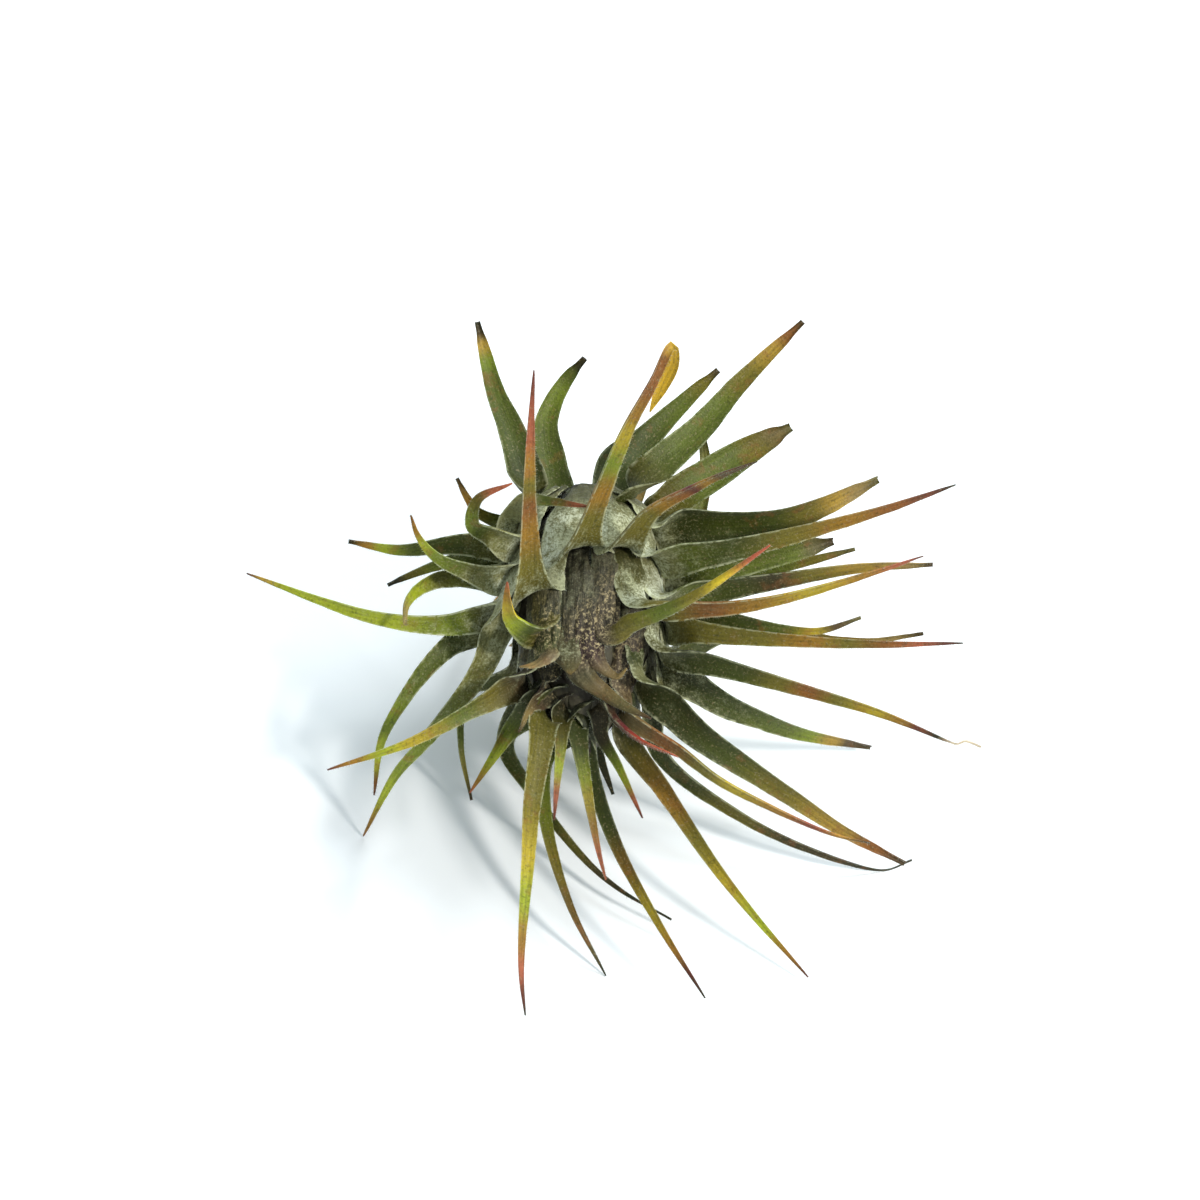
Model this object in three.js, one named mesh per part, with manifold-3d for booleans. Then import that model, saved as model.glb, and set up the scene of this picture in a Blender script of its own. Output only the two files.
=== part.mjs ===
// Air plant (Tillandsia ionantha): a bare rosette that lies on a table on the tips of its leaves.
// Each leaf is one piece: a sheath that hugs the bulb, an elbow where it leaves the bulb, and a
// channelled blade that tapers to its tip. Older leaves start nearer the root end, and their
// sheaths cover those of the younger leaves like roof tiles.
// Millimetres, +Z up. The origin is on the table, under the middle of the part's box.
import * as THREE from "three";
import { mergeVertices } from "three/addons/utils/BufferGeometryUtils.js";
import Module from "manifold-3d";

const wasm = await Module();
wasm.setup();

// The bulb lies over the table with its growing end forward and down
const BULB_HEIGHT = 27; // from the table to the bulb's middle
const STEM_DIP = 30; // degrees that the growing end points below level
const LOOK_DOWN = 50; // degrees below level of the sight line that the leaves are laid out along
const EYE = 400; // from the bulb's middle back along that line to the eye
const ORIGIN_RIGHT = 3.79; // from the bulb's middle to the middle of the part's box
const ORIGIN_FORWARD = 13.04;

// Outlines of the bulb and of the heart inside it, from the root end to the growing end:
// millimetres along the stem from the bulb's middle, and radius
const BULB = [[-20, 3], [-18, 6.3], [-15.5, 8.8], [-12, 10.5], [-8, 11.6], [-4, 12.2], [0, 12.6],
  [4, 12.5], [8, 11.6], [11, 9.8], [13, 7.4], [14.5, 4.5], [15.5, 2]];
const HEART = [[-19, 0], [-18.6, 2.2], [-16, 4.4], [-13, 5.8], [-9, 7.2], [-4, 8], [2, 8],
  [6, 7.4], [8.6, 6], [11, 4.4], [13, 3], [16, 2.2], [19, 1.2], [20, 0]];
const HEART_SIDES = 20;

// Sheaths
const GAP = 0.3; // clear space between a leaf and its neighbours
const SHEATH_LENGTH = 11;
const SHORTEST_SHEATH = 1.5;
const SHEATH_SLOPE = 0.3; // how fast a sheath sinks under the older ones, away from its elbow
const SHEATH_WIDTH = 3.1; // half width, least
const SHEATH_WIDENING = 1.25; // of a wide leaf's sheath over its blade
const MOST_WIDENING = 2; // of a narrow leaf's sheath over its blade
const YOUNG = 11; // place along the stem beyond which the leaves are young, with slender sheaths
const YOUNG_WIDENING = 1.4;
const BROAD_SHEATH = 4.6; // half width of the sheaths under the bulb, where the leaves are fewer
const UNDERSIDE = 114; // degrees from the eye's side to where the underside starts
const SHEATH_THICK = 0.7;
const KNEE = 2; // from the end of the sheath to the middle of its bend outward
const FLARE = 2.4; // distance in which the sheath's extra width fades beyond the elbow

// Blades
const BLADE_THICK = 1.15; // along the middle of the blade, at its base
const EDGE_THICK = 0.62; // along the edges, and at the tip
const CHANNEL = 48; // degrees that each half of a blade curls up
const TURN_SHARE = 0.15; // of the blade's length, in which it turns its channel to the eye
const TIP_WIDTH = 0.3; // half width of a sharp tip
const CUT_TIP = 0.16; // what a cut tip has lost of the blade's width, left as a share of it
const BLUNT_TIP = 0.34; // width of a blunt or a folded tip, as a share of the blade's
const NARROWING = 0.85; // power that a blade's width falls with towards its tip
const WHISKER_START = 0.8; // share of the blade's length at which only a thread is left
const RESTING = 0.16; // height of the middle line of a tip that rests on the table

// Where the sections of a leaf are taken, as shares of its sheath and of its blade
const SHEATH_SHARES = [0, 0.5, 0.85];
const BLADE_SHARES = [0, 0.03, 0.07, 0.13, 0.22, 0.34, 0.47, 0.6, 0.74, 0.88, 1];
const ACROSS = [-1, 0, 1]; // points across each face of a section
const STEPS = 24; // of the middle line, between two given points
const SEARCH_STEP = 0.25;

const COLOURS = {
  olive: 0x858a48, green: 0x66804c, lime: 0x9caa55, dark: 0x45543a, silver: 0x93a08c,
  orange: 0xa8783f, pink: 0xb5654f, brown: 0x77684a, tan: 0xab9068, heart: 0x6f7148,
};

// The leaves. For each one: degrees round the stem from the eye's side to its elbow, rightwards;
// millimetres along the stem to its elbow; half width of the blade; how far the blade turns its
// channel to the eye, from 0 to 1; its tip; its colour; and the points that the blade passes,
// ending at its tip. A point is millimetres right of the bulb's middle, down from it and towards
// the eye, the first two as they look at the bulb's distance. A point without its third number
// lies on the table.
const LEAVES = {
  front_tall: [-37, -0.9, 1.8, 0, "sharp", "olive", [-7.9, -11, 17], [-7.6, -25, 25],
    [-7.1, -33.3, 29]],
  front_folded: [-6, -6.9, 2.9, 0, "folded", "olive", [2.1, -16.7, 17], [5.6, -25, 22],
    [9.2, -31.5, 25], [12.2, -36.4, 25.5], [12.9, -34.8, 23.2], [10.2, -28, 20.5]],
  front_purple: [24, -7.3, 2, 0, "sharp", "orange", [9, -13.9, 15], [14.6, -16.9, 19],
    [18.8, -18.8, 22], [23.9, -20.6, 25]],
  front_pink: [15, 3.8, 1.5, 0.7, "sharp", "orange", [6.3, 1.7, 15.5], [10.4, 0.3, 18], [16, -2.5, 22],
    [25.7, -9, 28]],
  front_small: [-40, 4.6, 1.2, 0, "sharp", "lime", [-10, 1.1, 13], [-10.7, -1.4, 15],
    [-10.8, -3.9, 16.5]],
  front_curl: [-44, -13.6, 0.9, 0.3, "sharp", "green", [-5.5, -14.9, 10.5], [-2, -14.6, 12],
    [1, -14.3, 12.5]],
  front_hooked: [-28, 8.4, 1.1, 0, "sharp", "brown", [-6.3, 9.7, 11.6], [-7.6, 10, 12.3], [-9.2, 8.6, 13]],
  front_scale: [-11, 9.6, 0.9, 0, "sharp", "silver", [-2, 10.4, 11.4]],
  front_dry: [0, 9, 1.8, 0, "sharp", "tan", [2.1, 11.1, 11.3], [5.1, 13.2, 12.5], [9.2, 15.1, 14]],
  right_long: [60, -6, 2.2, 0.6, "sharp", "olive", [14.6, -7.9, 8], [21.5, -9, 9.5], [39.6, -13.5, 10],
    [51.5, -17.4, 9]],
  right_red: [39, 1, 1.7, 0.6, "sharp", "lime", [16, -0.4, 12], [25.7, -1.4, 14], [39.6, -5.1, 14],
    [47, -7.5, 13]],
  right_spotted: [62, 0, 2.1, 0.6, "cut", "green", [16, -2.8, 6.5], [27, -4.4, 7.5], [38.2, -6, 7.5],
    [48.3, -6.4, 7]],
  right_blunt: [95, -5, 1.9, 0.7, "blunt", "green", [16, -5.8, 1], [24.3, -7.6, 2], [29.9, -8.6, 2],
    [34.4, -9.6, 1]],
  right_grey: [102, -1.5, 1.8, 0.7, "cut", "green", [21.5, -4.9, -2], [28.5, -6.3, -1],
    [37.5, -8.5, 0]],
  right_hook: [92, 4, 1.4, 0.6, "cut", "dark", [16, 0.3, 1], [21.5, 1.4, 3], [27.1, 2.5, 4],
    [32.6, 2.8, 4.5], [38.3, 1, 4]],
  right_level: [70, 3.5, 1.6, 0.7, "sharp", "olive", [16, 2.8, 9], [24.3, 3.8, 11], [39.6, 4.7, 12],
    [52.5, 4.6, 11]],
  right_stub: [118, 5, 1.4, 0.7, "cut", "tan", [20, 3.2, -8], [29.9, 3.6, -4], [39.6, 4.2, 2],
    [47, 3.2, 4]],
  right_thread: [61, 7.5, 1.8, 0.7, "whisker", "olive", [18.8, 7.6, 9], [27, 10, 11], [41, 14.2, 12],
    [55, 19, 11]],
  right_speckled: [88, 7.5, 2.3, 0.7, "cut", "green", [14.6, 9.7, 2], [18.8, 12.5, 1], [24.3, 15, -2],
    [29.9, 17, -7], [39.6, 19, -16]],
  right_dark: [48, 10, 2.9, 0.8, "cut", "dark", [11.8, 13, 10], [16, 17, 10.5], [22.9, 21.9, 9],
    [29.9, 26.6, 7], [35.4, 30.3, 5], [44.4, 35.1, 2]],
  right_low: [100, 9.5, 1.6, 0.6, "whisker", "dark", [10.4, 19.4, -2.5], [21.5, 28.5, -2.2],
    [34, 34.3, -2.4], [41.7, 36.1], [45.4, 34.7]],
  right_inner: [44, 11.8, 1.3, 0.6, "sharp", "orange", [6.2, 14.5, 9.3], [13.5, 19.6, 12.5],
    [18.2, 23.3, 13.5], [25, 27, 13.5], [34.3, 31.1, 12], [39.6, 32.4, 11]],
  inner_pink: [25, 12.4, 1.1, 0.4, "sharp", "pink", [4.2, 14.9, 10.8], [7.6, 18, 14.5],
    [12.9, 20.4, 18]],
  low_long: [-55, 13, 1.7, 0.2, "sharp", "olive", [-6.2, 18, 13], [-7.4, 26.4, 19], [-8, 34.7, 26],
    [-8.9, 50, 36], [-8.3, 56.3, 39]],
  low_short: [-36, 13.8, 1, 0, "sharp", "lime", [-3.5, 19.4, 12], [-4, 25, 15], [-4.3, 29.2, 17]],
  low_middle: [-20, 14.4, 1.2, 0.2, "sharp", "olive", [-1.2, 17, 7.5], [0.7, 27.8, 12.5],
    [1.8, 33.3, 15], [2.9, 37.5, 16.5]],
  low_right: [20, 14.8, 1.3, 0.3, "sharp", "lime", [0.7, 20.8, 3], [4.2, 32, 7], [10.4, 43.8, 11.5],
    [16.7, 53.9, 15]],
  low_green: [22, 13.6, 1, 0.2, "sharp", "green", [2.4, 17.4, 8], [4.6, 21.5, 10], [8, 28.9, 13]],
  low_far_right: [70, 12.6, 1.5, 0.5, "sharp", "olive", [6, 17.5, 2.5], [11, 25, 4.5], [18, 35.4, 7],
    [22.9, 41.7, 8], [31, 51, 8.5]],
  low_resting: [-150, 14.3, 1.4, 0.3, "sharp", "lime", [-5.6, 20, -0.5], [-5.5, 29, 3], [-2.1, 41, 6.5],
    [2.9, 50.8]],
  low_whisker: [-118, 10.5, 1.2, 0.3, "whisker", "dark", [-11.1, 18.8, -3.5], [-7.6, 25, -3.5],
    [-3.5, 30.6, -2.5], [0.7, 35.4, -0.5], [4.9, 38.9, 1.5], [12, 43, 4]],
  low_broken: [165, 13, 1, 0.4, "cut", "dark", [1.5, 18, -4], [3.9, 25.6, -4.5]],
  low_left: [-72, 12.6, 1.2, 0.3, "sharp", "lime", [-10.4, 16.7, 4], [-12.5, 20, 5.5], [-16, 25.4, 7]],
  low_thin: [-128, 7, 0.9, 0.3, "cut", "dark", [-16.5, 11.5, -7], [-17.3, 18.5, -8], [-15.8, 26.4, -9]],
  low_brown: [-40, 11.8, 1, 0.1, "sharp", "tan", [-7.7, 13.4, 11.5], [-9.3, 17, 13.5]],
  left_low: [-60, 10, 1.3, 0.5, "sharp", "lime", [-11.8, 11.4, 8], [-16, 13.9, 10.5], [-24.3, 18.3, 13],
    [-35.8, 22.2, 14]],
  left_deep: [-98, 1, 1.5, 0.5, "sharp", "olive", [-18.8, 4.9, 0], [-22.2, 8.3, 1], [-25.7, 13.2, 1],
    [-28.2, 18, -1], [-29.3, 25.7, -6]],
  left_ridged: [-86, 6, 1.7, 0.4, "sharp", "green", [-13.9, 7.2, 2.5], [-16, 10.3, 3.5],
    [-18.8, 13.9, 3.5], [-22.9, 18.8, 1.5], [-26.4, 22.9, -1.5], [-30.8, 31.4]],
  left_long: [-78, -3, 1.9, 0.6, "sharp", "lime", [-17.4, 1.4, 4], [-22.9, 1.7, 6], [-29.9, 0.7, 8],
    [-36.8, -1.4, 9], [-47, -5.1, 9]],
  left_silver: [-72, -7.5, 1.5, 0.5, "sharp", "lime", [-17.4, -6, 8], [-20.8, -7.6, 10],
    [-23.2, -10.4, 12], [-24.2, -13.2, 13]],
  left_cut: [-102, -10, 1.9, 0.6, "cut", "green", [-18, -9.4, -2], [-25.7, -8.5, -2],
    [-32.8, -9.6, -3]],
  left_black: [-118, -6.5, 1.5, 0.6, "cut", "green", [-18.5, -7, -5], [-25, -4.6, -5],
    [-27.4, -3.5, -5.5]],
  left_hook: [-100, -4.5, 1.4, 0.5, "blunt", "silver", [-17.4, -4.9, 0], [-20.8, -4.4, 3],
    [-23.6, -2.8, 7], [-25, -0.7, 10], [-25.1, 2, 11.5]],
  left_tuft: [-124, -12.3, 1.1, 0.5, "cut", "tan", [-14.8, -13.4, -5], [-16.3, -15.4, -4],
    [-17.8, -18.3, -3]],
  left_curl: [-66, -10.4, 1.3, 0.3, "sharp", "pink", [-13.2, -10.8, 9], [-15.5, -12, 11],
    [-14.8, -15.4, 12.5], [-10.1, -17.6, 13]],
  back_left_tall: [-96, -16, 2.9, 0.6, "cut", "green", [-8.6, -19.5, -2], [-10.4, -25, -4],
    [-12.6, -30.5, -5], [-15, -40, -5]],
  back_left_bent: [-155, -15, 2.9, -0.2, "cut", "green", [-4.9, -20.5, -13.5], [-5.5, -25.4, -15.5],
    [-4.4, -28.9, -16], [-2.4, -32.2, -16], [0, -35, -15]],
  back_middle: [152, -15.3, 2.6, -0.2, "cut", "dark", [4.2, -20, -13.5], [8, -23.3, -16],
    [11.8, -27, -17], [18.5, -33.3, -17]],
  back_right_tall: [78, -15.8, 2.9, 0.6, "cut", "lime", [10, -19.5, 0.5], [16, -25, -1],
    [21.5, -31.3, -1.5], [30.3, -40, -1]],
  back_right_broad: [92, -12.6, 2.8, 0.6, "blunt", "green", [13.5, -16, -2.5], [17.5, -18.6, -3.5],
    [22.5, -21.8, -4.5], [28.6, -25.3, -5]],
  right_top: [84, -9.8, 2.3, 0.6, "cut", "dark", [14, -12.3, 1.5], [20, -12.2, 2], [27, -12.8, 2.5],
    [32.6, -14.6, 2.5], [40.6, -18.3, 1]],
  back_grey: [140, -3.5, 1.4, 0, "cut", "silver", [15, -12, -17], [16.7, -20, -18], [15.7, -26.3, -17]],
  back_dry: [163, -6, 1, 0, "cut", "tan", [6, -12, -20], [8.4, -18, -20.5], [10.1, -23.3, -19]],
  under_left: [-150, -6, 1.7, 0.3, "sharp", "green", [-8, -4, -22], [-9, -6, -33], [-9, -8]],
  under_right: [146, 2.5, 1.7, 0.3, "sharp", "olive", [9, -1, -22], [10.5, -5, -32], [10, -9]],
  under_middle: [178, -1, 1.7, 0.2, "sharp", "green", [0, -1, -20], [1, -3.5, -33]],
  under_low_left: [-147, 4.5, 1.5, 0.3, "sharp", "lime", [-9, 4.5, -18], [-10.5, 5, -25]],
  under_low_right: [172, 7, 1.4, 0.3, "sharp", "green", [1.5, 9, -15], [2.5, 11.5, -19]],
  under_side: [-124, -1.5, 1.6, 0.4, "sharp", "green", [-14, -0.5, -13], [-16, -1, -22],
    [-14, -4, -32]],
};

// The frame that the leaves are laid out in
const rad = THREE.MathUtils.degToRad;
const lerp = THREE.MathUtils.lerp;
const vector = (x, y, z) => new THREE.Vector3(x, y, z);
const middle = vector(-ORIGIN_RIGHT, ORIGIN_FORWARD, BULB_HEIGHT);
const right = vector(1, 0, 0);
const up = vector(0, Math.sin(rad(LOOK_DOWN)), Math.cos(rad(LOOK_DOWN)));
const toEye = vector(0, -Math.cos(rad(LOOK_DOWN)), Math.sin(rad(LOOK_DOWN)));
const ahead = vector(0, -Math.cos(rad(STEM_DIP)), -Math.sin(rad(STEM_DIP))); // along the stem
const eyeSide = vector(0, -Math.sin(rad(STEM_DIP)), Math.cos(rad(STEM_DIP)));

// The direction out of the stem at an angle round it
function outward(degrees) {
  return right.clone().multiplyScalar(Math.sin(rad(degrees)))
    .addScaledVector(eyeSide, Math.cos(rad(degrees)));
}

// A radius from an outline, at a place along the stem
function radiusOf(outline, along) {
  const next = outline.findIndex(([place]) => place >= along);
  if (next < 0) return outline.at(-1)[1];
  if (next === 0) return outline[0][1];
  const [fromPlace, fromRadius] = outline[next - 1];
  const [toPlace, toRadius] = outline[next];
  return lerp(fromRadius, toRadius, (along - fromPlace) / (toPlace - fromPlace));
}

// The place of a point of the table of leaves
function pointSeen([across, down, near]) {
  if (near === undefined) {
    const rest = RESTING - BULB_HEIGHT + up.z * down;
    near = rest / (toEye.z + (up.z * down) / EYE);
  }
  const shrink = 1 - near / EYE;
  return middle.clone().addScaledVector(right, across * shrink)
    .addScaledVector(up, -down * shrink).addScaledVector(toEye, near);
}

function stemDistance(point) {
  const offset = point.clone().sub(middle);
  return offset.addScaledVector(ahead, -offset.dot(ahead)).length();
}

// How far a sheath's middle lies from the stem's middle line
function sheathRadius(elbow, along) {
  const surface = Math.min(radiusOf(BULB, along), radiusOf(BULB, elbow));
  return surface - SHEATH_SLOPE * (elbow - along) - SHEATH_THICK / 2;
}

// Where a leaf's sheath starts: as far back as it clears the heart of the bulb
function sheathStart(elbow) {
  let start = Math.max(elbow - SHEATH_LENGTH, BULB[0][0]);
  while (sheathRadius(elbow, start) < radiusOf(HEART, start) + SHEATH_THICK / 2 + 2 * GAP) {
    start += SEARCH_STEP;
  }
  return Math.min(start, elbow - SHORTEST_SHEATH);
}

// The side that the channel faces, turned about the leaf's middle line part of the way to the eye
function turnedToEye({ along, channel }, part) {
  if (!part) return channel;
  const eyeward = toEye.clone().addScaledVector(along, -toEye.dot(along)).normalize();
  const full = Math.atan2(channel.clone().cross(eyeward).dot(along), channel.dot(eyeward));
  return channel.clone().applyAxisAngle(along, full * part);
}

// Points close together along a leaf's middle line, each with its direction, the side that its
// channel faces, its distance along the leaf and the part of the blade's length behind it
function leafLine(angle, elbow, facing, points) {
  const start = sheathStart(elbow);
  const out = outward(angle);
  const sheath = [start, (start + elbow) / 2, elbow].map((along) => middle.clone()
    .addScaledVector(ahead, along).addScaledVector(out, sheathRadius(elbow, along)));
  const blade = points.map(pointSeen);
  const toBlade = blade[0].clone().sub(sheath.at(-1)).normalize();
  const leaving = toBlade.clone().add(ahead).addScaledVector(out, (1 - toBlade.dot(ahead)) / 2);
  const knee = sheath.at(-1).clone().addScaledVector(leaving.normalize(), KNEE);
  const curve = new THREE.CatmullRomCurve3([...sheath, knee, ...blade], false, "centripetal");
  const count = STEPS * (sheath.length + blade.length);
  const line = [];
  let channel = out.clone().negate();
  for (let i = 0; i <= count; i++) {
    const point = curve.getPoint(i / count);
    const along = curve.getTangent(i / count);
    channel = channel.clone().addScaledVector(along, -channel.dot(along)).normalize();
    const travelled = i ? line[i - 1].travelled + point.distanceTo(line[i - 1].point) : 0;
    line.push({ point, along, channel, travelled });
  }
  const elbowAt = line[STEPS * (sheath.length - 1)].travelled;
  const bladeLength = line.at(-1).travelled - elbowAt;
  for (const place of line) {
    place.beyond = place.travelled - elbowAt;
    place.share = Math.max(place.beyond / bladeLength, 0);
    const turned = THREE.MathUtils.smoothstep(place.share, 0, TURN_SHARE);
    place.channel = turnedToEye(place, facing * turned);
  }
  return line;
}

// The places along a leaf where its sections are taken
function sections(line) {
  const elbowAt = line[0].travelled - line[0].beyond;
  const bladeLength = line.at(-1).travelled - elbowAt;
  const wanted = [...SHEATH_SHARES.map((share) => share * elbowAt),
    ...BLADE_SHARES.map((share) => elbowAt + share * bladeLength)];
  return wanted.map((distance) => line.find((place) => place.travelled >= distance - 1e-6));
}

// A blade's width at a share of its length, as a share of its width at the base
const TAPER = {
  sharp: (share) => (1 - share) ** NARROWING,
  folded: (share) => Math.max((1 - share) ** NARROWING, BLUNT_TIP),
  cut: (share) => 1 - (1 - CUT_TIP) * share ** NARROWING,
  blunt: (share) => 1 - (1 - BLUNT_TIP) * share ** 2,
  whisker: (share) => Math.max(1 - share / WHISKER_START, 0) ** NARROWING,
};

function sheathHalfWidth(angle, elbow, half) {
  if (elbow > YOUNG) return half * YOUNG_WIDENING;
  if (Math.abs(angle) > UNDERSIDE) return BROAD_SHEATH;
  return Math.min(Math.max(SHEATH_WIDTH, half * SHEATH_WIDENING), half * MOST_WIDENING);
}

// One section of a leaf: an arc of points on its channel face, then one on its back. With grow
// above zero, the section stands that far proud on every side, and end moves it lengthwise.
function section(place, [angle, elbow, half, , tip], grow, end) {
  const bladeHalf = TIP_WIDTH + (half - TIP_WIDTH) * TAPER[tip](place.share);
  const sheathHalf = sheathHalfWidth(angle, elbow, half);
  const flare = Math.min(Math.exp(-place.beyond / FLARE), 1);
  const narrowed = Math.min(stemDistance(place.point) / radiusOf(BULB, elbow), 1);
  const wide = lerp(bladeHalf, sheathHalf * narrowed, flare);
  const thick = lerp(lerp(BLADE_THICK, EDGE_THICK, place.share), SHEATH_THICK, flare);
  const tightest = wide / (thick / 2 + 2 * GAP);
  const curl = Math.min(lerp(rad(CHANNEL), sheathHalf / radiusOf(BULB, elbow), flare), tightest);
  const radius = wide / curl;
  const side = place.along.clone().cross(place.channel);
  const centre = place.point.clone().addScaledVector(place.channel, radius)
    .addScaledVector(place.along, end);
  const ring = [];
  for (const face of [-1, 1]) {
    for (const x of ACROSS) {
      const reach = radius + face * (lerp(thick, EDGE_THICK, x * x) / 2 + grow);
      const turn = (curl + grow / radius) * x;
      const vertex = centre.clone().addScaledVector(place.channel, -reach * Math.cos(turn))
        .addScaledVector(side, reach * Math.sin(turn));
      if (!grow) vertex.z = Math.max(vertex.z, 0);
      ring.push(...vertex);
    }
  }
  return ring;
}

// A leaf as a closed solid, or with grow above zero a solid that stands that far proud of it
function leafSolid(leaf, grow) {
  const [angle, elbow, , facing, , , ...points] = leaf;
  const places = sections(leafLine(angle, elbow, facing, points));
  const last = places.length - 1;
  const rings = places.map((place, i) => {
    const end = i === 0 ? -grow : i === last ? grow : 0;
    return section(place, leaf, grow, end);
  });
  return toSolid(rings.flat(), stripFaces(rings.length));
}

// The triangles of a strip of sections, split alike on its two faces
function stripFaces(count) {
  const wide = ACROSS.length;
  const last = count - 1;
  const id = (ring, face, x) => (ring * 2 + face) * wide + x;
  const faces = [];
  const quad = (a, b, c, d) => faces.push(a, b, c, a, c, d);
  for (let i = 0; i < last; i++) {
    for (let x = 0; x < wide - 1; x++) {
      quad(id(i, 0, x), id(i, 0, x + 1), id(i + 1, 0, x + 1), id(i + 1, 0, x));
      faces.push(id(i, 1, x), id(i + 1, 1, x + 1), id(i, 1, x + 1));
      faces.push(id(i, 1, x), id(i + 1, 1, x), id(i + 1, 1, x + 1));
    }
    quad(id(i, 0, 0), id(i + 1, 0, 0), id(i + 1, 1, 0), id(i, 1, 0));
    quad(id(i, 0, wide - 1), id(i, 1, wide - 1), id(i + 1, 1, wide - 1), id(i + 1, 0, wide - 1));
  }
  for (let x = 0; x < wide - 1; x++) {
    quad(id(0, 0, x), id(0, 1, x), id(0, 1, x + 1), id(0, 0, x + 1));
    quad(id(last, 0, x), id(last, 0, x + 1), id(last, 1, x + 1), id(last, 1, x));
  }
  return faces;
}

function toSolid(vertices, faces) {
  const build = (triangles) => new wasm.Manifold(new wasm.Mesh({
    numProp: 3,
    vertProperties: new Float32Array(vertices),
    triVerts: new Uint32Array(triangles),
  }));
  const solid = build(faces);
  return solid.volume() > 0 ? solid : build(faces.toReversed());
}

function toGeometry(solid) {
  const { vertProperties, triVerts } = solid.getMesh();
  return new THREE.BufferGeometry()
    .setAttribute("position", new THREE.BufferAttribute(vertProperties, 3))
    .setIndex(new THREE.BufferAttribute(triVerts, 1));
}

// The heart of the bulb: the short stem with the packed bases of the leaves
function heartSolid() {
  const profile = HEART.map(([along, radius]) => new THREE.Vector2(radius, along));
  const turned = new THREE.LatheGeometry(profile, HEART_SIDES);
  const frame = new THREE.Matrix4().makeBasis(right, ahead, eyeSide.clone().negate());
  turned.applyMatrix4(frame.setPosition(middle));
  turned.deleteAttribute("normal");
  turned.deleteAttribute("uv");
  const closed = mergeVertices(turned, 1e-3);
  return toSolid(closed.attributes.position.array, closed.index.array);
}

// A solid without what lies inside the others, and without the scraps that this cuts loose
function trimmed(solid, others) {
  for (const other of others) {
    if (solid.intersect(other).volume() > 0) solid = solid.subtract(other);
  }
  return solid.decompose().sort((a, b) => b.volume() - a.volume())[0];
}

const plant = new THREE.Group();
function addPiece(name, solid, color) {
  const material = new THREE.MeshStandardMaterial({ color, roughness: 0.75, metalness: 0 });
  const mesh = new THREE.Mesh(toGeometry(solid), material);
  mesh.name = name;
  plant.add(mesh);
}

// The oldest leaves come first, and each younger one is trimmed where it would touch them
const oldestFirst = Object.entries(LEAVES).sort(([, a], [, b]) => a[1] - b[1]);
const proud = [];
for (const [name, leaf] of oldestFirst) {
  addPiece(name, trimmed(leafSolid(leaf, 0), proud), COLOURS[leaf[5]]);
  proud.push(leafSolid(leaf, GAP));
}
addPiece("heart", trimmed(heartSolid(), proud), COLOURS.heart);

export default plant;
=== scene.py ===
"""Air plant (Tillandsia ionantha), lying on a pale table on the tips of its leaves.

Each leaf is one piece: a sheath that hugs the bulb, an elbow, and a channelled blade with a
fringe of fine hairs along both margins. Sizes are millimetres, and the meshes are made in
metres. Places along the stem count from the middle of the bulb, ahead towards the heart of the
rosette. Angles round the stem count in degrees from the side that faces the eye, to the right.
"""

import math

import bmesh
import bpy
from mathutils import Matrix, Vector


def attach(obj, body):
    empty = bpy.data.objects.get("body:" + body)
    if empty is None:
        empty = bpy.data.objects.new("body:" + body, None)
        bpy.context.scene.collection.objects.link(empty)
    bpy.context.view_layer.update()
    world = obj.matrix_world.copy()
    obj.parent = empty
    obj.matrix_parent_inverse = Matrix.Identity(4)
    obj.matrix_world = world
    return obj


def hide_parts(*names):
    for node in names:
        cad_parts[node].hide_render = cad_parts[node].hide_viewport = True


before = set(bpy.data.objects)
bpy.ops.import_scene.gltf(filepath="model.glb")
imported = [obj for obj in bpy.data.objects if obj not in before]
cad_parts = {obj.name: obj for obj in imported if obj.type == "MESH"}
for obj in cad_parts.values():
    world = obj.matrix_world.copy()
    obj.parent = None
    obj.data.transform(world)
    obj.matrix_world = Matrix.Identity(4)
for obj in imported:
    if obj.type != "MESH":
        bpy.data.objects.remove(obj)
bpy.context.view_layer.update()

MM = 0.001

# ---------------------------------------------------------------- layout and camera

# As in the solids: where the middle of the bulb is, how the stem dips, and where the eye is
BULB_HEIGHT = 27.0
MIDDLE = Vector((-3.79, 13.04, BULB_HEIGHT))
STEM_DIP = math.radians(30)
LOOK_DOWN = math.radians(50)
EYE = 400.0  # from the middle of the bulb to the eye
RIGHT = Vector((1, 0, 0))
UP = Vector((0, math.sin(LOOK_DOWN), math.cos(LOOK_DOWN)))
TO_EYE = Vector((0, -math.cos(LOOK_DOWN), math.sin(LOOK_DOWN)))
AHEAD = Vector((0, -math.cos(STEM_DIP), -math.sin(STEM_DIP)))
EYE_SIDE = Vector((0, -math.sin(STEM_DIP), math.cos(STEM_DIP)))

PICTURE = 1200  # picture elements along each side of the picture
ELEMENTS_PER_MM = 7.2  # at the middle of the bulb
MIDDLE_SHIFT = (15, 10)  # from there to the middle of the picture, right and up
SENSOR = 36


def aim(thing, target):
    thing.rotation_euler = (target - thing.location).to_track_quat("-Z", "Y").to_euler()


def add_camera():
    data = bpy.data.cameras.new("camera")
    data.sensor_width = SENSOR
    data.lens = SENSOR * EYE / (PICTURE / ELEMENTS_PER_MM)
    data.shift_x = MIDDLE_SHIFT[0] / PICTURE
    data.shift_y = MIDDLE_SHIFT[1] / PICTURE
    camera = bpy.data.objects.new("camera", data)
    camera.location = (MIDDLE + TO_EYE * EYE) * MM
    aim(camera, MIDDLE * MM)
    bpy.context.scene.collection.objects.link(camera)
    bpy.context.scene.camera = camera


# ---------------------------------------------------------------- sizes

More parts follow.
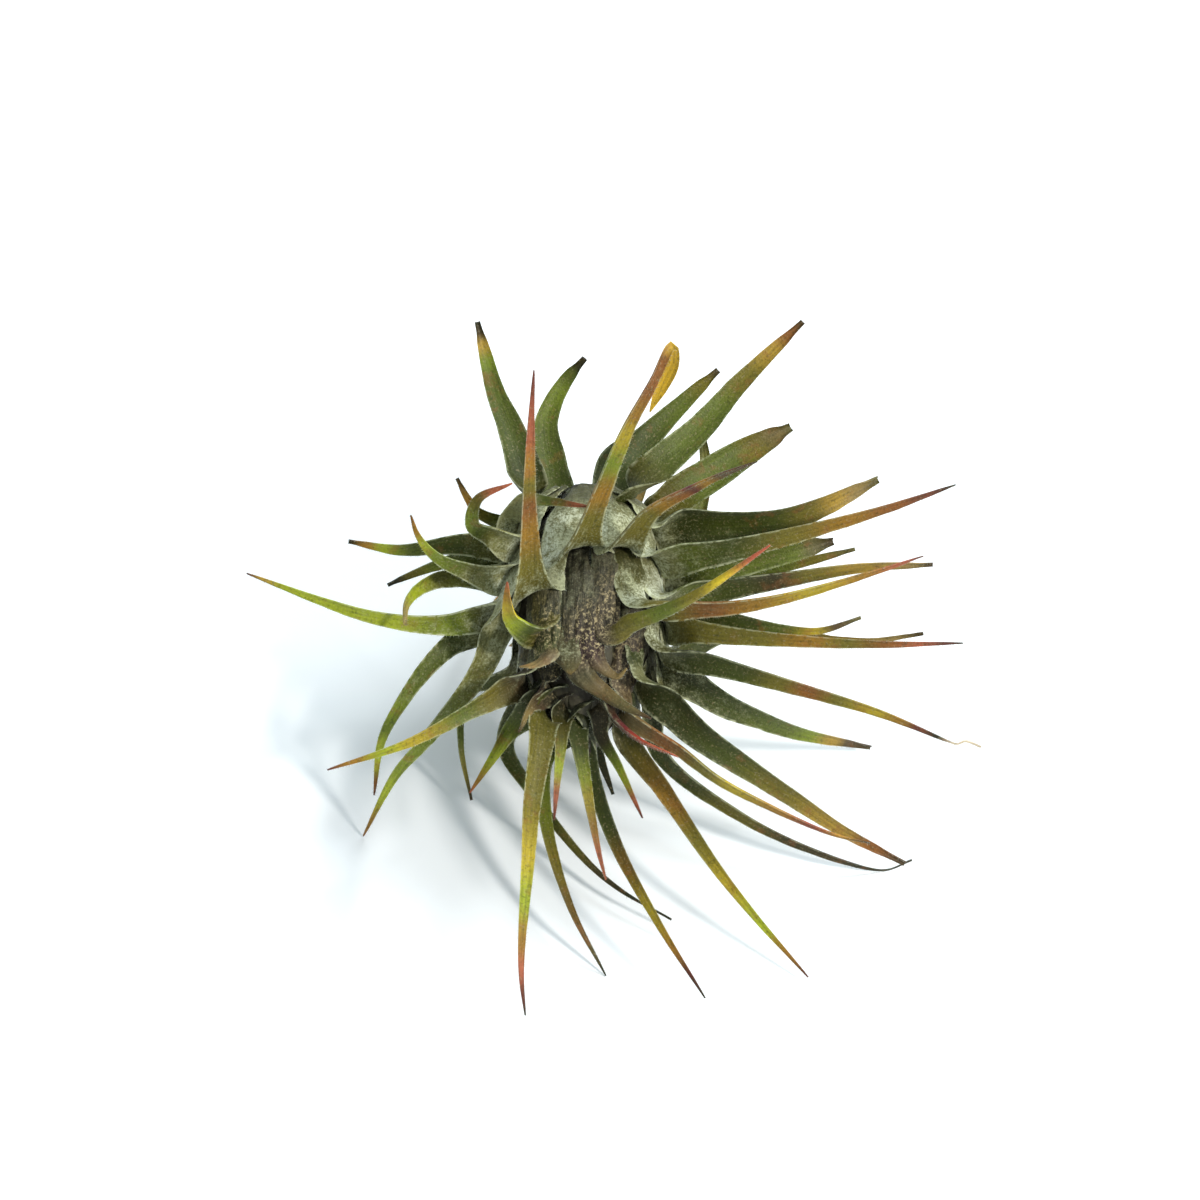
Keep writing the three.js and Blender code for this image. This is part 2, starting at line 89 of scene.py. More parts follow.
# Outlines round the stem: places along it, with the radius there
BULB = [(-20, 3), (-18, 6.3), (-15.5, 8.8), (-12, 10.5), (-8, 11.6), (-4, 12.2), (0, 12.6),
        (4, 12.5), (8, 11.6), (11, 9.8), (13, 7.4), (14.5, 4.5), (15.5, 2)]
HEART = [(-17, 0), (-16.7, 2), (-15.5, 3.9), (-13, 5.6), (-9, 7), (-4, 8.6), (2, 9),
         (6, 8.6), (8.6, 7.8), (11, 7), (13, 6), (14.5, 5), (16, 3.6), (18, 2), (19.4, 0)]

# Where the elbow is on the stem tells how old a leaf is
OLDEST = -12.0
UPPER = -5.0  # sheaths of leaves older than this lie open to the light
YOUNG = 11.0
UNDERSIDE = 114  # degrees from the eye's side past which a leaf is on the underside
DRY = 0.55  # brownness over which a sheath is a dry column that stands out from the bulb

# The line of a sheath, from its root end to the elbow
SHEATH_LENGTH = 13.0
COLUMN_LENGTH = 20.0
LEAST_LENGTH = 2.0
ROOT_END = -17.0  # no root end lies further back on the stem
SHEATH_SLOPE = 0.24  # how fast a sheath sinks into the bulb towards its root end
COLUMN_SLOPE = 0.13
TUCK = 1.4  # how much deeper the root end itself dips
TUCK_LENGTH = 3
LEAST_RADIUS = 0.5  # no sheath lies nearer to the middle of the stem
OLD_ROOT = [(4, 2.5), (2.2, 5.5)]  # of the oldest: how far ahead of the elbow, and from the stem
OLD_ELBOW = 0.5  # how deep the elbows of the oldest lie in the bulb
KNEE = 2.0  # length of the bend between elbow and blade
STRAIGHT = 0.75  # leaves that point less ahead than this have no knee
STEPS = 24  # to each span of a leaf's line

# Half widths of sheaths
SHEATH_WIDTH = 3.6
SHEATH_WIDENING = 1.7  # over the half width of the blade
MOST_WIDENING = 2.5
YOUNG_WIDENING = 2.5
OLD_WIDENING = 1.1
BROAD_SHEATH = 5.0  # on the underside
COLUMN_WIDTH = 2.6
SHEATH_WIDTHS = {"right_dark": 2.0, "right_thread": 2.6, "front_tall": 5.2, "front_folded": 5.8,
                 "front_small": 3.2, "front_dry": 3.4, "low_thin": 4.6, "left_ridged": 4.6,
                 "left_low": 4.2}
FLARE = 2.4  # how far past the elbow its width and folds reach

# Sections: the curl is half the angle of the arc that a leaf is bent to
SHEATH_THICK = 0.7
BLADE_THICK = 1.0
TIP_THICK = 0.3
MOST_THICK = 1.3  # over the half width
PAPERY = ("tan", "brown", "silver")  # slots of the leaves that are thin and papery
PAPERY_THICK = 0.5  # over the thickness of other leaves
CHANNEL = math.radians(56)
SHEATH_CURL = 0.8  # over the half width as a share of the bulb's radius
COLUMN_CURL = 3.4
CURL_CHANGE = (-3.5, 5)  # from where, and over how much, past the elbow
LEAST_BEND = 0.12  # radius inside the tightest curl
BASE_WIDENING = 0.65  # of the bases of the leaves at the sides
BASE_REACH = 8.0
SIDES = (20, 30)  # degrees from the eye's side where they start, and over how many
TURN_SHARE = 0.15  # share of a blade over which it turns to the eye
TURN_LEAD = 3.0  # how far before the elbow the turn starts
FOLD_TURN = (0.66, 0.12)  # where along a blade that folds back its lobe turns to the eye

# Tips
NARROWING = 0.85
TIP_WIDTH = 0.1
THREAD_WIDTH = 0.17
WHISKER_START = 0.9  # share of the blade where the thread at its tip starts
CUT_TIP = 0.17  # width of cut and blunt tips over the width of the base
CUT_TAPER = 1.05
BLUNT_TIP = 0.3
BLUNT_TAPER = 3
WITHERED = (0.88, 0.08)  # where cut and blunt blades roll up, and over what share
WITHERED_CURL = 1.7
WITHERED_THICK = 0.25
LOBE = 0.76  # where the lobe of a blade that folds back starts
LOBE_WIDTH = 0.3
LOBE_END = 20  # how blunt the lobe's end is

# Tone, painted shade and silvery scales along a leaf, as shares of full light and of full cover.
# The painted shade darkens sheaths towards their root ends and up to the elbow, and leaves in the
# hollows near the stem. A pair says where past the elbow a change starts, and over how much
ROOT_SHADE = 0.25
ELBOW_SHADE = 0.25  # taken off sheaths, up to the elbow
HOLLOW_SHADE = 0.35
HOLLOW = (3, 13)  # distance from the stem over which the hollows get lighter
LIT = (-10, 8)  # past the elbow: where sheaths come out into the light
LIT_OPEN = (-19, 8)
SHEATH_LEAD = 1.25  # how far before the elbow the blade's tone starts
COLUMN_LEAD = 9
TONE_CHANGE = 1.2
TIP_LIGHT = 0.18
SHEATH_FROST = 1.5
HOAR = {"silver": 1.0, "frost": 0.85}  # how silvery a sheath of that tone is
OTHER_HOAR = 0.6
FROST_START = (-8, 5.5)
FROST_START_OPEN = (-12, 5.5)
COLUMN_FROST = 0.9  # towards the root end of a column
COLUMN_FROST_START = (4, 5)  # counted back from the elbow
TIP_FROST = 0.12
BASE_FROST = 0.48
SHEATH_WRINKLES = 0.55
PAPERY_WRINKLES = 0.5
BLADE_WRINKLES = 0.05
GLINTS = (-10, 7)  # where dry sheaths start to glint

# The skin's mesh and the fringe
AROUND = 36
LEAST_ROWS = 60
ROWS_PER_MM = 1.8
HAIRS_PER_MM = 7
HAIR_LENGTH = 0.34
HAIR_WIDTH = 0.03
WANDER = 0.35  # how much the margins wander, over the half width
RESTING = 0.16  # height of the middle of a leaf that rests on the table

# The heart
HEART_ROWS = 90
HEART_AROUND = 96
LOBES = (5, 0.55, 8, 0.34)  # two rounds of lobes: how many, and how they wind along the stem
LOBE_DEPTH = 0.05
BRACTS = 150
BRACT_LENGTH = 6.5
BRACT_WIDTH = 1.6
BRACT_SEED = 3
BRACT_DEPTH = 0.2  # how deep their roots lie in the heart
BRACTS_FROM, BRACTS_TO = -15, 18  # on the stem

TABLE_HALF = 3.0  # metres

# sRGB tones of the leaves
TONES = {
    "silver": "8f9279", "frost": "68693c", "ash": "5c5742", "beige": "9b8c68",
    "felt": "a9ab88", "down": "b2b6a2",
    "deep": "2e350c", "moss": "3f4a1a", "leaf": "5b692a", "fern": "75882a",
    "lime": "a0b032", "yellow": "b4a232", "olive": "706828", "amber": "9a7228",
    "rust": "84502a", "gold": "ad9044", "tan": "8d7a5e", "rose": "a55650",
    "red": "8a3430", "wine": "5e2030", "plum": "4e3a32", "earth": "362b1e",
    "bark": "402d24", "black": "1f1815", "straw": "cfc4dc", "honey": "d0ad3c",
    "umber": "75664f",
}

# For each leaf: the angle round the stem, the place of its elbow along the stem, its half
# width, how far it turns its channel to the eye (its outer side where this is negative), its
# tip, its slot, how silvery it is, how brown its sheath is, the tone of its sheath, the tones
# of its blade with the shares of the length where they lie, and the points that it passes:
# across and down as seen, and how near to the eye. A point without the last lies on the table.
LEAVES = {
    "front_tall": (
        -37, -0.9, 1.8, 0, "sharp", "olive", 0.7, 0, "silver",
        "frost 0 olive .05 olive .16 amber .32 rust .44 olive .52 amber .6 rose .75 wine 1",
        (-7.9, -11, 17), (-7.6, -25, 25), (-7.1, -33.3, 29)),
    "front_folded": (
        -6, -6.9, 2.1, 0, "folded", "olive", 0.6, 0, "silver",
        "frost 0 olive .06 olive .14 amber .24 fern .36 yellow .46 amber .54 rust .62 rust .72 "
        "honey .78 honey 1",
        (2.1, -16.7, 17), (5.6, -25, 22), (9.2, -31.5, 25), (12, -36.6, 25.5),
        (12.1, -34.4, 23.8), (10.7, -31.2, 22.6), (9, -27.5, 22)),
    "front_purple": (
        24, -7.3, 2.3, 0, "sharp", "orange", 0.6, 0, "silver",
        "frost 0 olive .1 olive .3 amber .42 rust .54 wine .61 amber .68 plum .8 plum .92 bark 1",
        (9, -13.9, 15), (14.6, -16.9, 19), (18.8, -18.8, 22), (23.9, -20.6, 25)),
    "front_pink": (
        16, 4.6, 1.5, -0.85, "sharp", "orange", 0.5, 1.0, "ash",
        "umber 0 olive .08 leaf .35 olive .55 yellow .7 rose .9 rose 1",
        (6.3, 1.7, 15.5), (10.4, 0.3, 18), (16, -2.5, 22), (25.7, -9, 28)),
    "front_small": (
        -33, 4.6, 1.6, 0.5, "sharp", "lime", 0.6, 0.7, "ash",
        "olive 0 leaf .15 lime .35 yellow .6 amber .8 rose 1",
        (-10, 1.1, 13), (-10.7, -1.4, 15), (-10.8, -3.9, 16.5)),
    "front_curl": (
        -70, -11.9, 1.5, 1, "sharp", "green", 1.2, 0, "silver",
        "down 0 silver .5 leaf .62 olive .74 rose .88 bark 1",
        (-8.2, -15.2, 8), (-5, -15.1, 10.5), (-2, -14.7, 12), (1, -14.3, 12.5)),
    "front_hooked": (
        -29, 7.2, 1.5, 0, "sharp", "brown", 0.6, 0.9, "ash",
        "frost 0 umber .3 tan .7 umber 1",
        (-5.6, 6.4, 12.2), (-7, 7.4, 12.9), (-9.2, 7.8, 13.2)),
    "front_scale": (
        -11, 8.2, 1.3, 0, "sharp", "silver", 0.7, 0.2, "ash",
        "ash 0 ash .5 tan 1",
        (-2, 9, 11.4)),
    "front_dry_spur": (
        5, 7.6, 0.9, 0, "sharp", "tan", 0.3, 1.0, "ash",
        "plum 0 umber .5 tan 1",
        (4.3, 9.2, 12.2), (5.8, 8.1, 13.4)),
    "front_dry": (
        -4, 9, 1.8, 0, "sharp", "tan", 0.4, 0.8, "ash",
        "umber 0 ash .15 umber .4 ash .7 bark 1",
        (2.1, 11.1, 11.3), (5.1, 13.2, 12.5), (9.2, 15.1, 14)),
    "right_long": (
        54, -6.6, 2.4, 0.6, "sharp", "olive", 1.0, 0, "silver",
        "down 0 silver .05 leaf .12 moss .25 olive .45 amber .65 rust .78 wine .92 black 1",
        (14.6, -7.9, 8), (21.5, -9, 9.5), (39.6, -13.5, 10), (51.5, -17.4, 9)),
    "right_red": (
        39, 0.2, 1.7, 0.6, "sharp", "lime", 0.6, 0.2, "frost",
        "frost 0 olive .1 rust .25 amber .4 yellow .6 amber .78 rose .92 wine 1",
        (16, -0.4, 12), (25.7, -1.4, 14), (39.6, -5.1, 14), (47, -7.5, 13)),
    "right_spotted": (
        62, -1, 2.1, 0.6, "cut", "green", 0.8, 0.1, "silver",
        "silver 0 leaf .1 moss .25 earth .42 olive .55 gold .75 tan .92 bark 1",
        (16, -2.8, 6.5), (27, -4.4, 7.5), (38.2, -6, 7.5), (48.3, -6.4, 7)),
    "right_blunt": (
        95, -5, 2.5, 0.7, "blunt", "green", 0.9, 0, "silver",
        "frost 0 moss .1 leaf .4 leaf .75 ash .88 bark 1",
        (16, -5.8, 1), (24.3, -7.6, 2), (29.9, -8.6, 2), (34.4, -9.6, 1)),
    "right_grey": (
        102, -1.5, 1.8, 0.7, "cut", "green", 0.8, 0, "silver",
        "frost 0 moss .15 leaf .6 olive .8 ash 1",
        (21.5, -4.9, -2), (28.5, -6.3, -1), (37.5, -8.5, 0)),
    "right_hook": (
        92, 1.5, 1.4, 0.6, "cut", "dark", 0.8, 0, "frost",
        "frost 0 deep .1 moss .4 leaf .6 yellow .75 plum .86 ash 1",
        (16, 0.3, 1), (21.5, 1.4, 3), (27.1, 2.5, 4), (32.6, 2.8, 4.5), (38.3, 1, 4)),
    "right_level": (
        70, 2.2, 1.6, 0.7, "sharp", "olive", 0.4, 0.1, "silver",
        "frost 0 olive .1 olive .35 amber .5 olive .62 rust .76 rose .86 wine .95 black 1",
        (16, 2.8, 9), (24.3, 3.8, 11), (39.6, 4.7, 12), (52.5, 4.6, 11)),
    "right_stub": (
        118, 5, 1.4, 0.7, "cut", "tan", 0.5, 0, "frost",
        "frost 0 moss .15 olive .5 gold .75 tan .9 bark 1",
        (20, 3.2, -8), (29.9, 3.6, -4), (39.6, 4.2, 2), (47, 3.2, 4)),
    "right_thread": (
        61, 6, 1.8, 0.7, "whisker", "olive", 0.5, 0.1, "frost",
        "frost 0 deep .08 moss .25 olive .38 rust .46 olive .55 yellow .66 amber .74 wine .8 "
        "black .86 straw .91 straw 1",
        (18.8, 7.6, 9), (27, 10, 11), (41, 14.3, 12), (50.4, 18.2, 11.5), (51.7, 18.6, 11.5),
        (52.8, 18.2, 11.4), (55, 19, 11)),
    "right_speckled": (
        88, 6.5, 2.3, 0.7, "cut", "green", 1.1, 0, "silver",
        "frost 0 deep .08 moss .3 leaf .55 fern .68 gold .8 plum .88 bark 1",
        (14.6, 9.7, 2), (18.8, 12.5, 1), (24.3, 15, -2), (29.9, 17, -7), (39.6, 19, -16)),
    "right_dark": (
        45, 9.2, 2.7, 0.8, "cut", "dark", 0.6, 0.1, "moss",
        "silver 0 deep .08 deep .2 moss .35 olive .55 gold .76 rust .88 bark 1",
        (11.8, 13, 10), (16, 17, 10.5), (22.9, 21.9, 9), (29.9, 26.6, 7), (35.4, 30.3, 5),
        (44.4, 35.1, 2)),
    "right_low": (
        100, 9.5, 1.6, 0.6, "whisker", "dark", 0.8, 0, "frost",
        "frost 0 deep .1 moss .3 olive .45 earth .65 bark .78 black .84 black 1",
        (10.4, 19.4, -2.5), (21.5, 28.5, -2.2), (34, 34.3, -2.4), (41.7, 36.1), (45.4, 34.7)),
    "right_inner": (
        44, 11.8, 1.3, 0.6, "sharp", "orange", 0.3, 0.8, "earth",
        "tan 0 tan .12 rust .25 olive .4 yellow .52 amber .66 red .8 amber .9 bark 1",
        (6.2, 14.5, 9.3), (13.5, 19.6, 12.5), (18.2, 23.3, 13.5), (25, 27, 13.5),
        (34.3, 31.1, 12), (39.6, 32.4, 11)),
    "inner_pink": (
        25, 12.4, 1.1, 0.4, "sharp", "pink", 0.2, 0.3, "earth",
        "earth 0 plum .2 wine .38 red .6 rose .85 rose 1",
        (4.2, 14.9, 10.8), (7.6, 18, 14.5), (12.9, 20.4, 18)),
    "low_long": (
        -55, 13, 2.0, 0.9, "sharp", "olive", 0.6, 0.2, "moss",
        "moss 0 olive .12 olive .35 yellow .55 lime .68 amber .8 rose .88 wine .96 black 1",
        (-6.2, 18, 13), (-7.4, 26.4, 19), (-8, 34.7, 26), (-8.9, 50, 36), (-8.3, 56.3, 39)),
    "low_short": (
        -36, 13.8, 1.2, 0.9, "sharp", "lime", 0.3, 0.4, "plum",
        "earth 0 olive .3 lime .6 rose .8 wine 1",
        (-3.5, 19.4, 12), (-4, 25, 15), (-4.3, 29.2, 17)),
    "low_middle": (
        -20, 14.4, 1.5, 0.9, "sharp", "olive", 0.5, 0.3, "moss",
        "moss 0 leaf .2 lime .4 yellow .55 amber .7 rose .88 rose 1",
        (-1.2, 17, 7.5), (0.7, 27.8, 12.5), (1.8, 33.3, 15), (2.9, 37.5, 16.5)),
    "low_right": (
        20, 14.8, 1.7, 0.9, "sharp", "lime", 0.7, 0.2, "moss",
        "moss 0 leaf .2 leaf .38 amber .52 yellow .68 amber .82 wine .92 black 1",
        (0.7, 20.8, 3), (4.2, 32, 7), (10.4, 43.8, 11.5), (16.7, 53.9, 15)),
    "low_green": (
        22, 13.6, 1.2, 0.9, "sharp", "green", 0.2, 0.5, "plum",
        "plum 0 plum .3 fern .48 lime .66 rose .85 wine 1",
        (2.4, 17.4, 8), (4.6, 21.5, 10), (8, 28.9, 13)),
    "low_far_right": (
        70, 12.6, 1.8, 0.9, "sharp", "olive", 0.5, 0.2, "moss",
        "moss 0 olive .15 amber .35 olive .5 yellow .65 lime .8 amber .9 wine 1",
        (6, 17.5, 2.5), (11, 25, 4.5), (18, 35.4, 7), (22.9, 41.7, 8), (31, 51, 8.5)),
    "low_resting": (
        -150, 14.3, 1.5, 0.9, "sharp", "lime", 0.4, 0.2, "moss",
        "moss 0 fern .25 lime .4 yellow .55 amber .75 tan .9 black 1",
        (-5.6, 20, -0.5), (-5.5, 29, 3), (-2.1, 41, 6.5), (2.9, 50.8)),
    "low_whisker": (
        -118, 10.5, 1.3, 0.9, "whisker", "dark", 0.6, 0, "moss",
        "moss 0 moss .2 leaf .4 olive .6 plum .74 black .82 black 1",
        (-11.1, 18.8, -3.5), (-7.6, 25, -3.5), (-3.5, 30.6, -2.5), (0.7, 35.4, -0.5),
        (4.9, 38.9, 1.5), (12, 43, 4)),
    "low_broken": (
        165, 13, 1, 0.4, "cut", "dark", 0.4, 0.4, "moss",
        "moss 0 deep .4 earth .8 black 1",
        (1.5, 18, -4), (3.9, 25.6, -4.5)),
    "low_left": (
        -72, 12.6, 1.4, 0.9, "sharp", "lime", 0.4, 0.2, "moss",
        "moss 0 leaf .2 fern .4 lime .65 amber .88 rose 1",
        (-10.4, 16.7, 4), (-12.5, 20, 5.5), (-16, 25.4, 7)),
    "low_thin": (
        -128, 7, 0.9, 0.3, "cut", "dark", 0.6, 0, "frost",
        "frost 0 moss .2 leaf .6 olive .85 bark 1",
        (-16.5, 11.5, -7), (-17.3, 18.5, -8), (-15.8, 26.4, -9)),
    "low_brown": (
        -40, 11.8, 1.2, 0.6, "sharp", "tan", 0.3, 0.8, "ash",
        "ash 0 plum .3 tan .7 bark 1",
        (-7.7, 13.4, 11.5), (-9.3, 17, 13.5)),
    "left_low": (
        -60, 10, 1.5, 0.8, "sharp", "lime", 0.5, 0.4, "ash",
        "plum 0 olive .2 leaf .35 yellow .6 lime .75 amber .88 wine 1",
        (-11.8, 11.4, 8), (-16, 13.9, 10.5), (-24.3, 18.3, 13), (-35.8, 22.2, 14)),
    "left_deep": (
        -98, 0.5, 1.8, 0.9, "sharp", "olive", 1.2, 0, "frost",
        "silver 0 frost .12 moss .2 leaf .4 fern .65 lime .82 rust .94 wine 1",
        (-18.8, 4.9, 0), (-22.2, 8.3, 1), (-25.7, 13.2, 1), (-28.2, 18, -1), (-29.3, 25.7, -6)),
    "left_ridged": (
        -74, -0.5, 2.0, 0.8, "sharp", "green", 1.5, 0, "silver",
        "down 0 silver .12 frost .24 leaf .45 fern .65 lime .8 amber .93 rust 1",
        (-12.7, 2.6, 3.2), (-13.9, 6.6, 3.6), (-16, 10.3, 3.8), (-18.8, 13.9, 3.5),
        (-22.9, 18.8, 1.5), (-26.4, 22.9, -1.5), (-30.8, 31.4)),
    "left_long": (
        -80, -0.5, 1.9, 0.6, "sharp", "lime", 1.3, 0, "silver",
        "silver 0 frost .08 fern .2 lime .42 lime .84 gold .93 wine 1",
        (-17.4, 1.4, 4), (-22.9, 1.7, 6), (-29.9, 0.7, 8), (-36.8, -1.4, 9), (-47, -5.1, 9)),
    "left_silver": (
        -69, -4.5, 1.7, 0.5, "sharp", "lime", 1.5, 0, "silver",
        "down 0 silver .2 frost .32 leaf .45 fern .62 lime .75 amber .88 rust 1",
        (-17.4, -6, 8), (-20.8, -7.6, 10), (-23.2, -10.4, 12), (-24.2, -13.2, 13)),
    "left_cut": (
        -96, -10.4, 1.9, 0.6, "cut", "green", 0.9, 0, "silver",
        "silver 0 frost .1 moss .3 leaf .6 lime .78 amber .88 black 1",
        (-18, -9.4, -2), (-25.7, -8.5, -2), (-32.8, -9.6, -3)),
    "left_black": (
        -110, -9.5, 1.5, 0.6, "cut", "green", 0.8, 0, "frost",
        "frost 0 moss .2 leaf .6 olive .82 black .92 black 1",
        (-18.5, -7, -5), (-25, -4.6, -5), (-27.4, -3.5, -5.5)),
    "left_hook": (
        -100, -6, 1.4, 0.5, "blunt", "silver", 1.4, 0, "silver",
        "frost 0 leaf .2 frost .45 lime .75 beige .92 beige 1",
        (-17.4, -4.9, 0), (-20.8, -4.4, 3), (-23.6, -2.8, 7), (-25, -0.7, 10), (-25.1, 2, 11.5)),
    "left_tuft": (
        -124, -12.3, 1.5, 0.9, "cut", "tan", 0.6, 0, "silver",
        "frost 0 leaf .3 olive .55 amber .75 bark 1",
        (-14.8, -13.4, -5), (-16.3, -15.4, -4), (-17.8, -18.3, -3)),
    "left_curl": (
        -56, -8.6, 1.8, 0.3, "sharp", "pink", 1.4, 0, "silver",
        "down 0 silver .2 frost .34 leaf .42 fern .55 olive .68 rose .86 rose 1",
        (-13.2, -10.8, 9), (-15.5, -12, 11), (-14.8, -15.4, 12.5), (-10.1, -17.6, 13)),
    "back_left_tall": (
        -80, -16, 3.1, 0.9, "cut", "green", 0.4, 0, "leaf",
        "frost 0 moss .12 leaf .4 leaf .68 fern .78 gold .87 bark .94 black 1",
        (-8.6, -19.5, -2), (-10.4, -25, -4), (-12.6, -30.5, -5), (-15, -40, -5)),
    "back_left_bent": (
        -155, -15, 3.6, 0.85, "cut", "green", 0.4, 0, "leaf",
        "frost 0 leaf .12 leaf .5 fern .75 leaf .88 earth .95 bark 1",
        (-4.9, -20.5, -13.5), (-5.5, -25.4, -15.5), (-4.4, -28.9, -16), (-2.4, -32.2, -16),
        (0, -35, -15)),
    "back_middle": (
        152, -15.3, 3.7, 0.95, "cut", "dark", 0.4, 0, "moss",
        "frost 0 moss .15 moss .45 leaf .75 olive .9 bark 1",
        (4.2, -20, -13.5), (8, -23.3, -16), (11.8, -27, -17), (18.5, -33.3, -17)),
    "back_right_tall": (
        62, -15.8, 3.2, 0.9, "cut", "lime", 0.45, 0, "leaf",
        "silver 0 frost .08 leaf .2 leaf .5 olive .68 gold .82 rust .92 bark 1",
        (10, -19.5, 0.5), (16, -25, -1), (21.5, -31.3, -1.5), (30.3, -40, -1)),
    "back_right_broad": (
        92, -12.6, 3.1, 0.9, "blunt", "green", 0.5, 0, "leaf",
        "frost 0 olive .12 leaf .35 leaf .6 olive .75 umber .9 ash 1",
        (13.5, -16, -2.5), (17.5, -18.6, -3.5), (22.5, -21.8, -4.5), (28.6, -25.3, -5)),
    "right_top": (
        72, -11, 2.5, 0.6, "blunt", "dark", 0.6, 0, "silver",
        "silver 0 deep .1 moss .35 moss .5 olive .66 gold .78 tan .9 ash 1",
        (14, -12.3, 1.5), (20, -12.2, 2), (27, -12.8, 2.5), (32.6, -14.6, 2.5), (40.6, -18.3, 1)),
    "back_grey": (
        140, -3.5, 2.6, 1, "cut", "silver", 0.9, 0, "frost",
        "frost 0 leaf .4 frost .8 ash 1",
        (15, -12, -17), (16.7, -20, -18), (15.7, -26.3, -17)),
    "back_dry": (
        163, -6, 1.4, 0.9, "cut", "tan", 0.3, 0.3, "frost",
        "frost 0 tan .4 tan .8 bark 1",
        (6, -12, -20), (8.4, -18, -20.5), (10.1, -23.3, -19)),
    "under_left": (
        -150, -6, 1.7, 0.3, "sharp", "green", 0.8, 0, "silver",
        "frost 0 leaf .2 leaf .6 olive .8 amber .92 wine 1",
        (-8, -4, -22), (-9, -6, -33), (-9, -8)),
    "under_right": (
        146, 2.5, 1.7, 0.3, "sharp", "olive", 0.8, 0, "silver",
        "frost 0 leaf .2 olive .6 yellow .8 amber .92 wine 1",
        (9, -1, -22), (10.5, -5, -32), (10, -9)),
    "under_middle": (
        178, -1, 1.7, 0.2, "sharp", "green", 0.8, 0, "silver",
        "frost 0 leaf .2 leaf .6 olive .85 rose 1",
        (0, -1, -20), (1, -3.5, -33)),
    "under_low_left": (
        -147, 4.5, 1.5, 0.3, "sharp", "lime", 0.7, 0, "silver",
        "frost 0 leaf .25 fern .6 amber .85 rose 1",
        (-9, 4.5, -18), (-10.5, 5, -25)),
    "under_low_right": (
        172, 7, 1.4, 0.3, "sharp", "green", 0.7, 0, "silver",
        "frost 0 leaf .25 leaf .6 olive .85 rose 1",
        (1.5, 9, -15), (2.5, 11.5, -19)),
    "under_side": (
        -124, -1.5, 1.6, 0.4, "sharp", "green", 0.8, 0, "silver",
        "frost 0 leaf .2 fern .6 lime .8 amber .92 wine 1",
        (-12.5, 0.5, -13), (-13.5, 1, -22), (-12, -2, -32)),
}


# ---------------------------------------------------------------- numbers and tones

def lerp(a, b, t):
    return a + (b - a) * t


def smooth(t):
    t = min(max(t, 0), 1)
    return t * t * (3 - 2 * t)


def rise(value, start, over):
    """Goes smoothly from 0 at start to 1 at over past it."""
    return smooth((value - start) / over)


def tone(name):
    """The linear colour of a named tone."""
    parts = [int(TONES[name][i:i + 2], 16) / 255 for i in (0, 2, 4)]
    return Vector([p / 12.92 if p <= 0.04045 else ((p + 0.055) / 1.055) ** 2.4 for p in parts])


def paint(name, strength=1):
    """A named tone as a socket's colour."""
    return (*(tone(name) * strength), 1)


def blend_tones(stops, share):
    """The tone at a share of the blade, from pairs of a share and a colour."""
    for (s0, c0), (s1, c1) in zip(stops, stops[1:]):
        if share <= s1:
            return c0.lerp(c1, smooth((share - s0) / max(s1 - s0, 1e-6)))
    return stops[-1][1]


# ---------------------------------------------------------------- the line of each leaf

def radius_of(outline, along):
    if along <= outline[0][0]:
        return outline[0][1]
    for (p0, r0), (p1, r1) in zip(outline, outline[1:]):
        if along <= p1:
            return lerp(r0, r1, (along - p0) / (p1 - p0))
    return outline[-1][1]


def point_seen(across, down, near=None):
    """The point seen at that place, so near to the eye, or where the table is there."""
    if near is None:
        near = (RESTING - BULB_HEIGHT + UP.z * down) / (TO_EYE.z + UP.z * down / EYE)
    shrink = 1 - near / EYE
    return MIDDLE + RIGHT * across * shrink - UP * down * shrink + TO_EYE * near


def stem_distance(point):
    offset = point - MIDDLE
    return (offset - AHEAD * offset.dot(AHEAD)).length


def spline(points, steps):
    """Points of a centripetal Catmull-Rom curve, with steps of them to each span."""
    ends = [2 * points[0] - points[1], *points, 2 * points[-1] - points[-2]]
    curve = []
    for i in range(len(points) - 1):
        p0, p1, p2, p3 = ends[i:i + 4]
        t0 = math.sqrt((p1 - p0).length)
        t1 = math.sqrt((p2 - p1).length)
        t2 = math.sqrt((p3 - p2).length)
        m1 = ((p1 - p0) / t0 - (p2 - p0) / (t0 + t1) + (p2 - p1) / t1) * t1
        m2 = ((p2 - p1) / t1 - (p3 - p1) / (t1 + t2) + (p3 - p2) / t2) * t1
        for k in range(steps + (i == len(points) - 2)):
            t = k / steps
            curve.append(p1 * (2 * t ** 3 - 3 * t ** 2 + 1) + m1 * (t ** 3 - 2 * t ** 2 + t)
                         + p2 * (3 * t ** 2 - 2 * t ** 3) + m2 * (t ** 3 - t ** 2))
    return curve


def lobe_taper(share):
    swell = math.sin(math.pi * (share - LOBE) / (1 - LOBE))
    return (LOBE_WIDTH + LOBE_WIDTH * swell) * (1 - share ** LOBE_END)


# How a blade narrows by the kind of its tip, from 1 at its base
TAPER = {
    "sharp": lambda s: (1 - s) ** NARROWING,
    "folded": lambda s: (1 - s) ** NARROWING if s < LOBE else lobe_taper(s),
    "cut": lambda s: 1 - (1 - CUT_TIP) * s ** CUT_TAPER,
    "blunt": lambda s: 1 - (1 - BLUNT_TIP) * s ** BLUNT_TAPER,
    "whisker": lambda s: max(1 - s / WHISKER_START, 0) ** NARROWING,
}


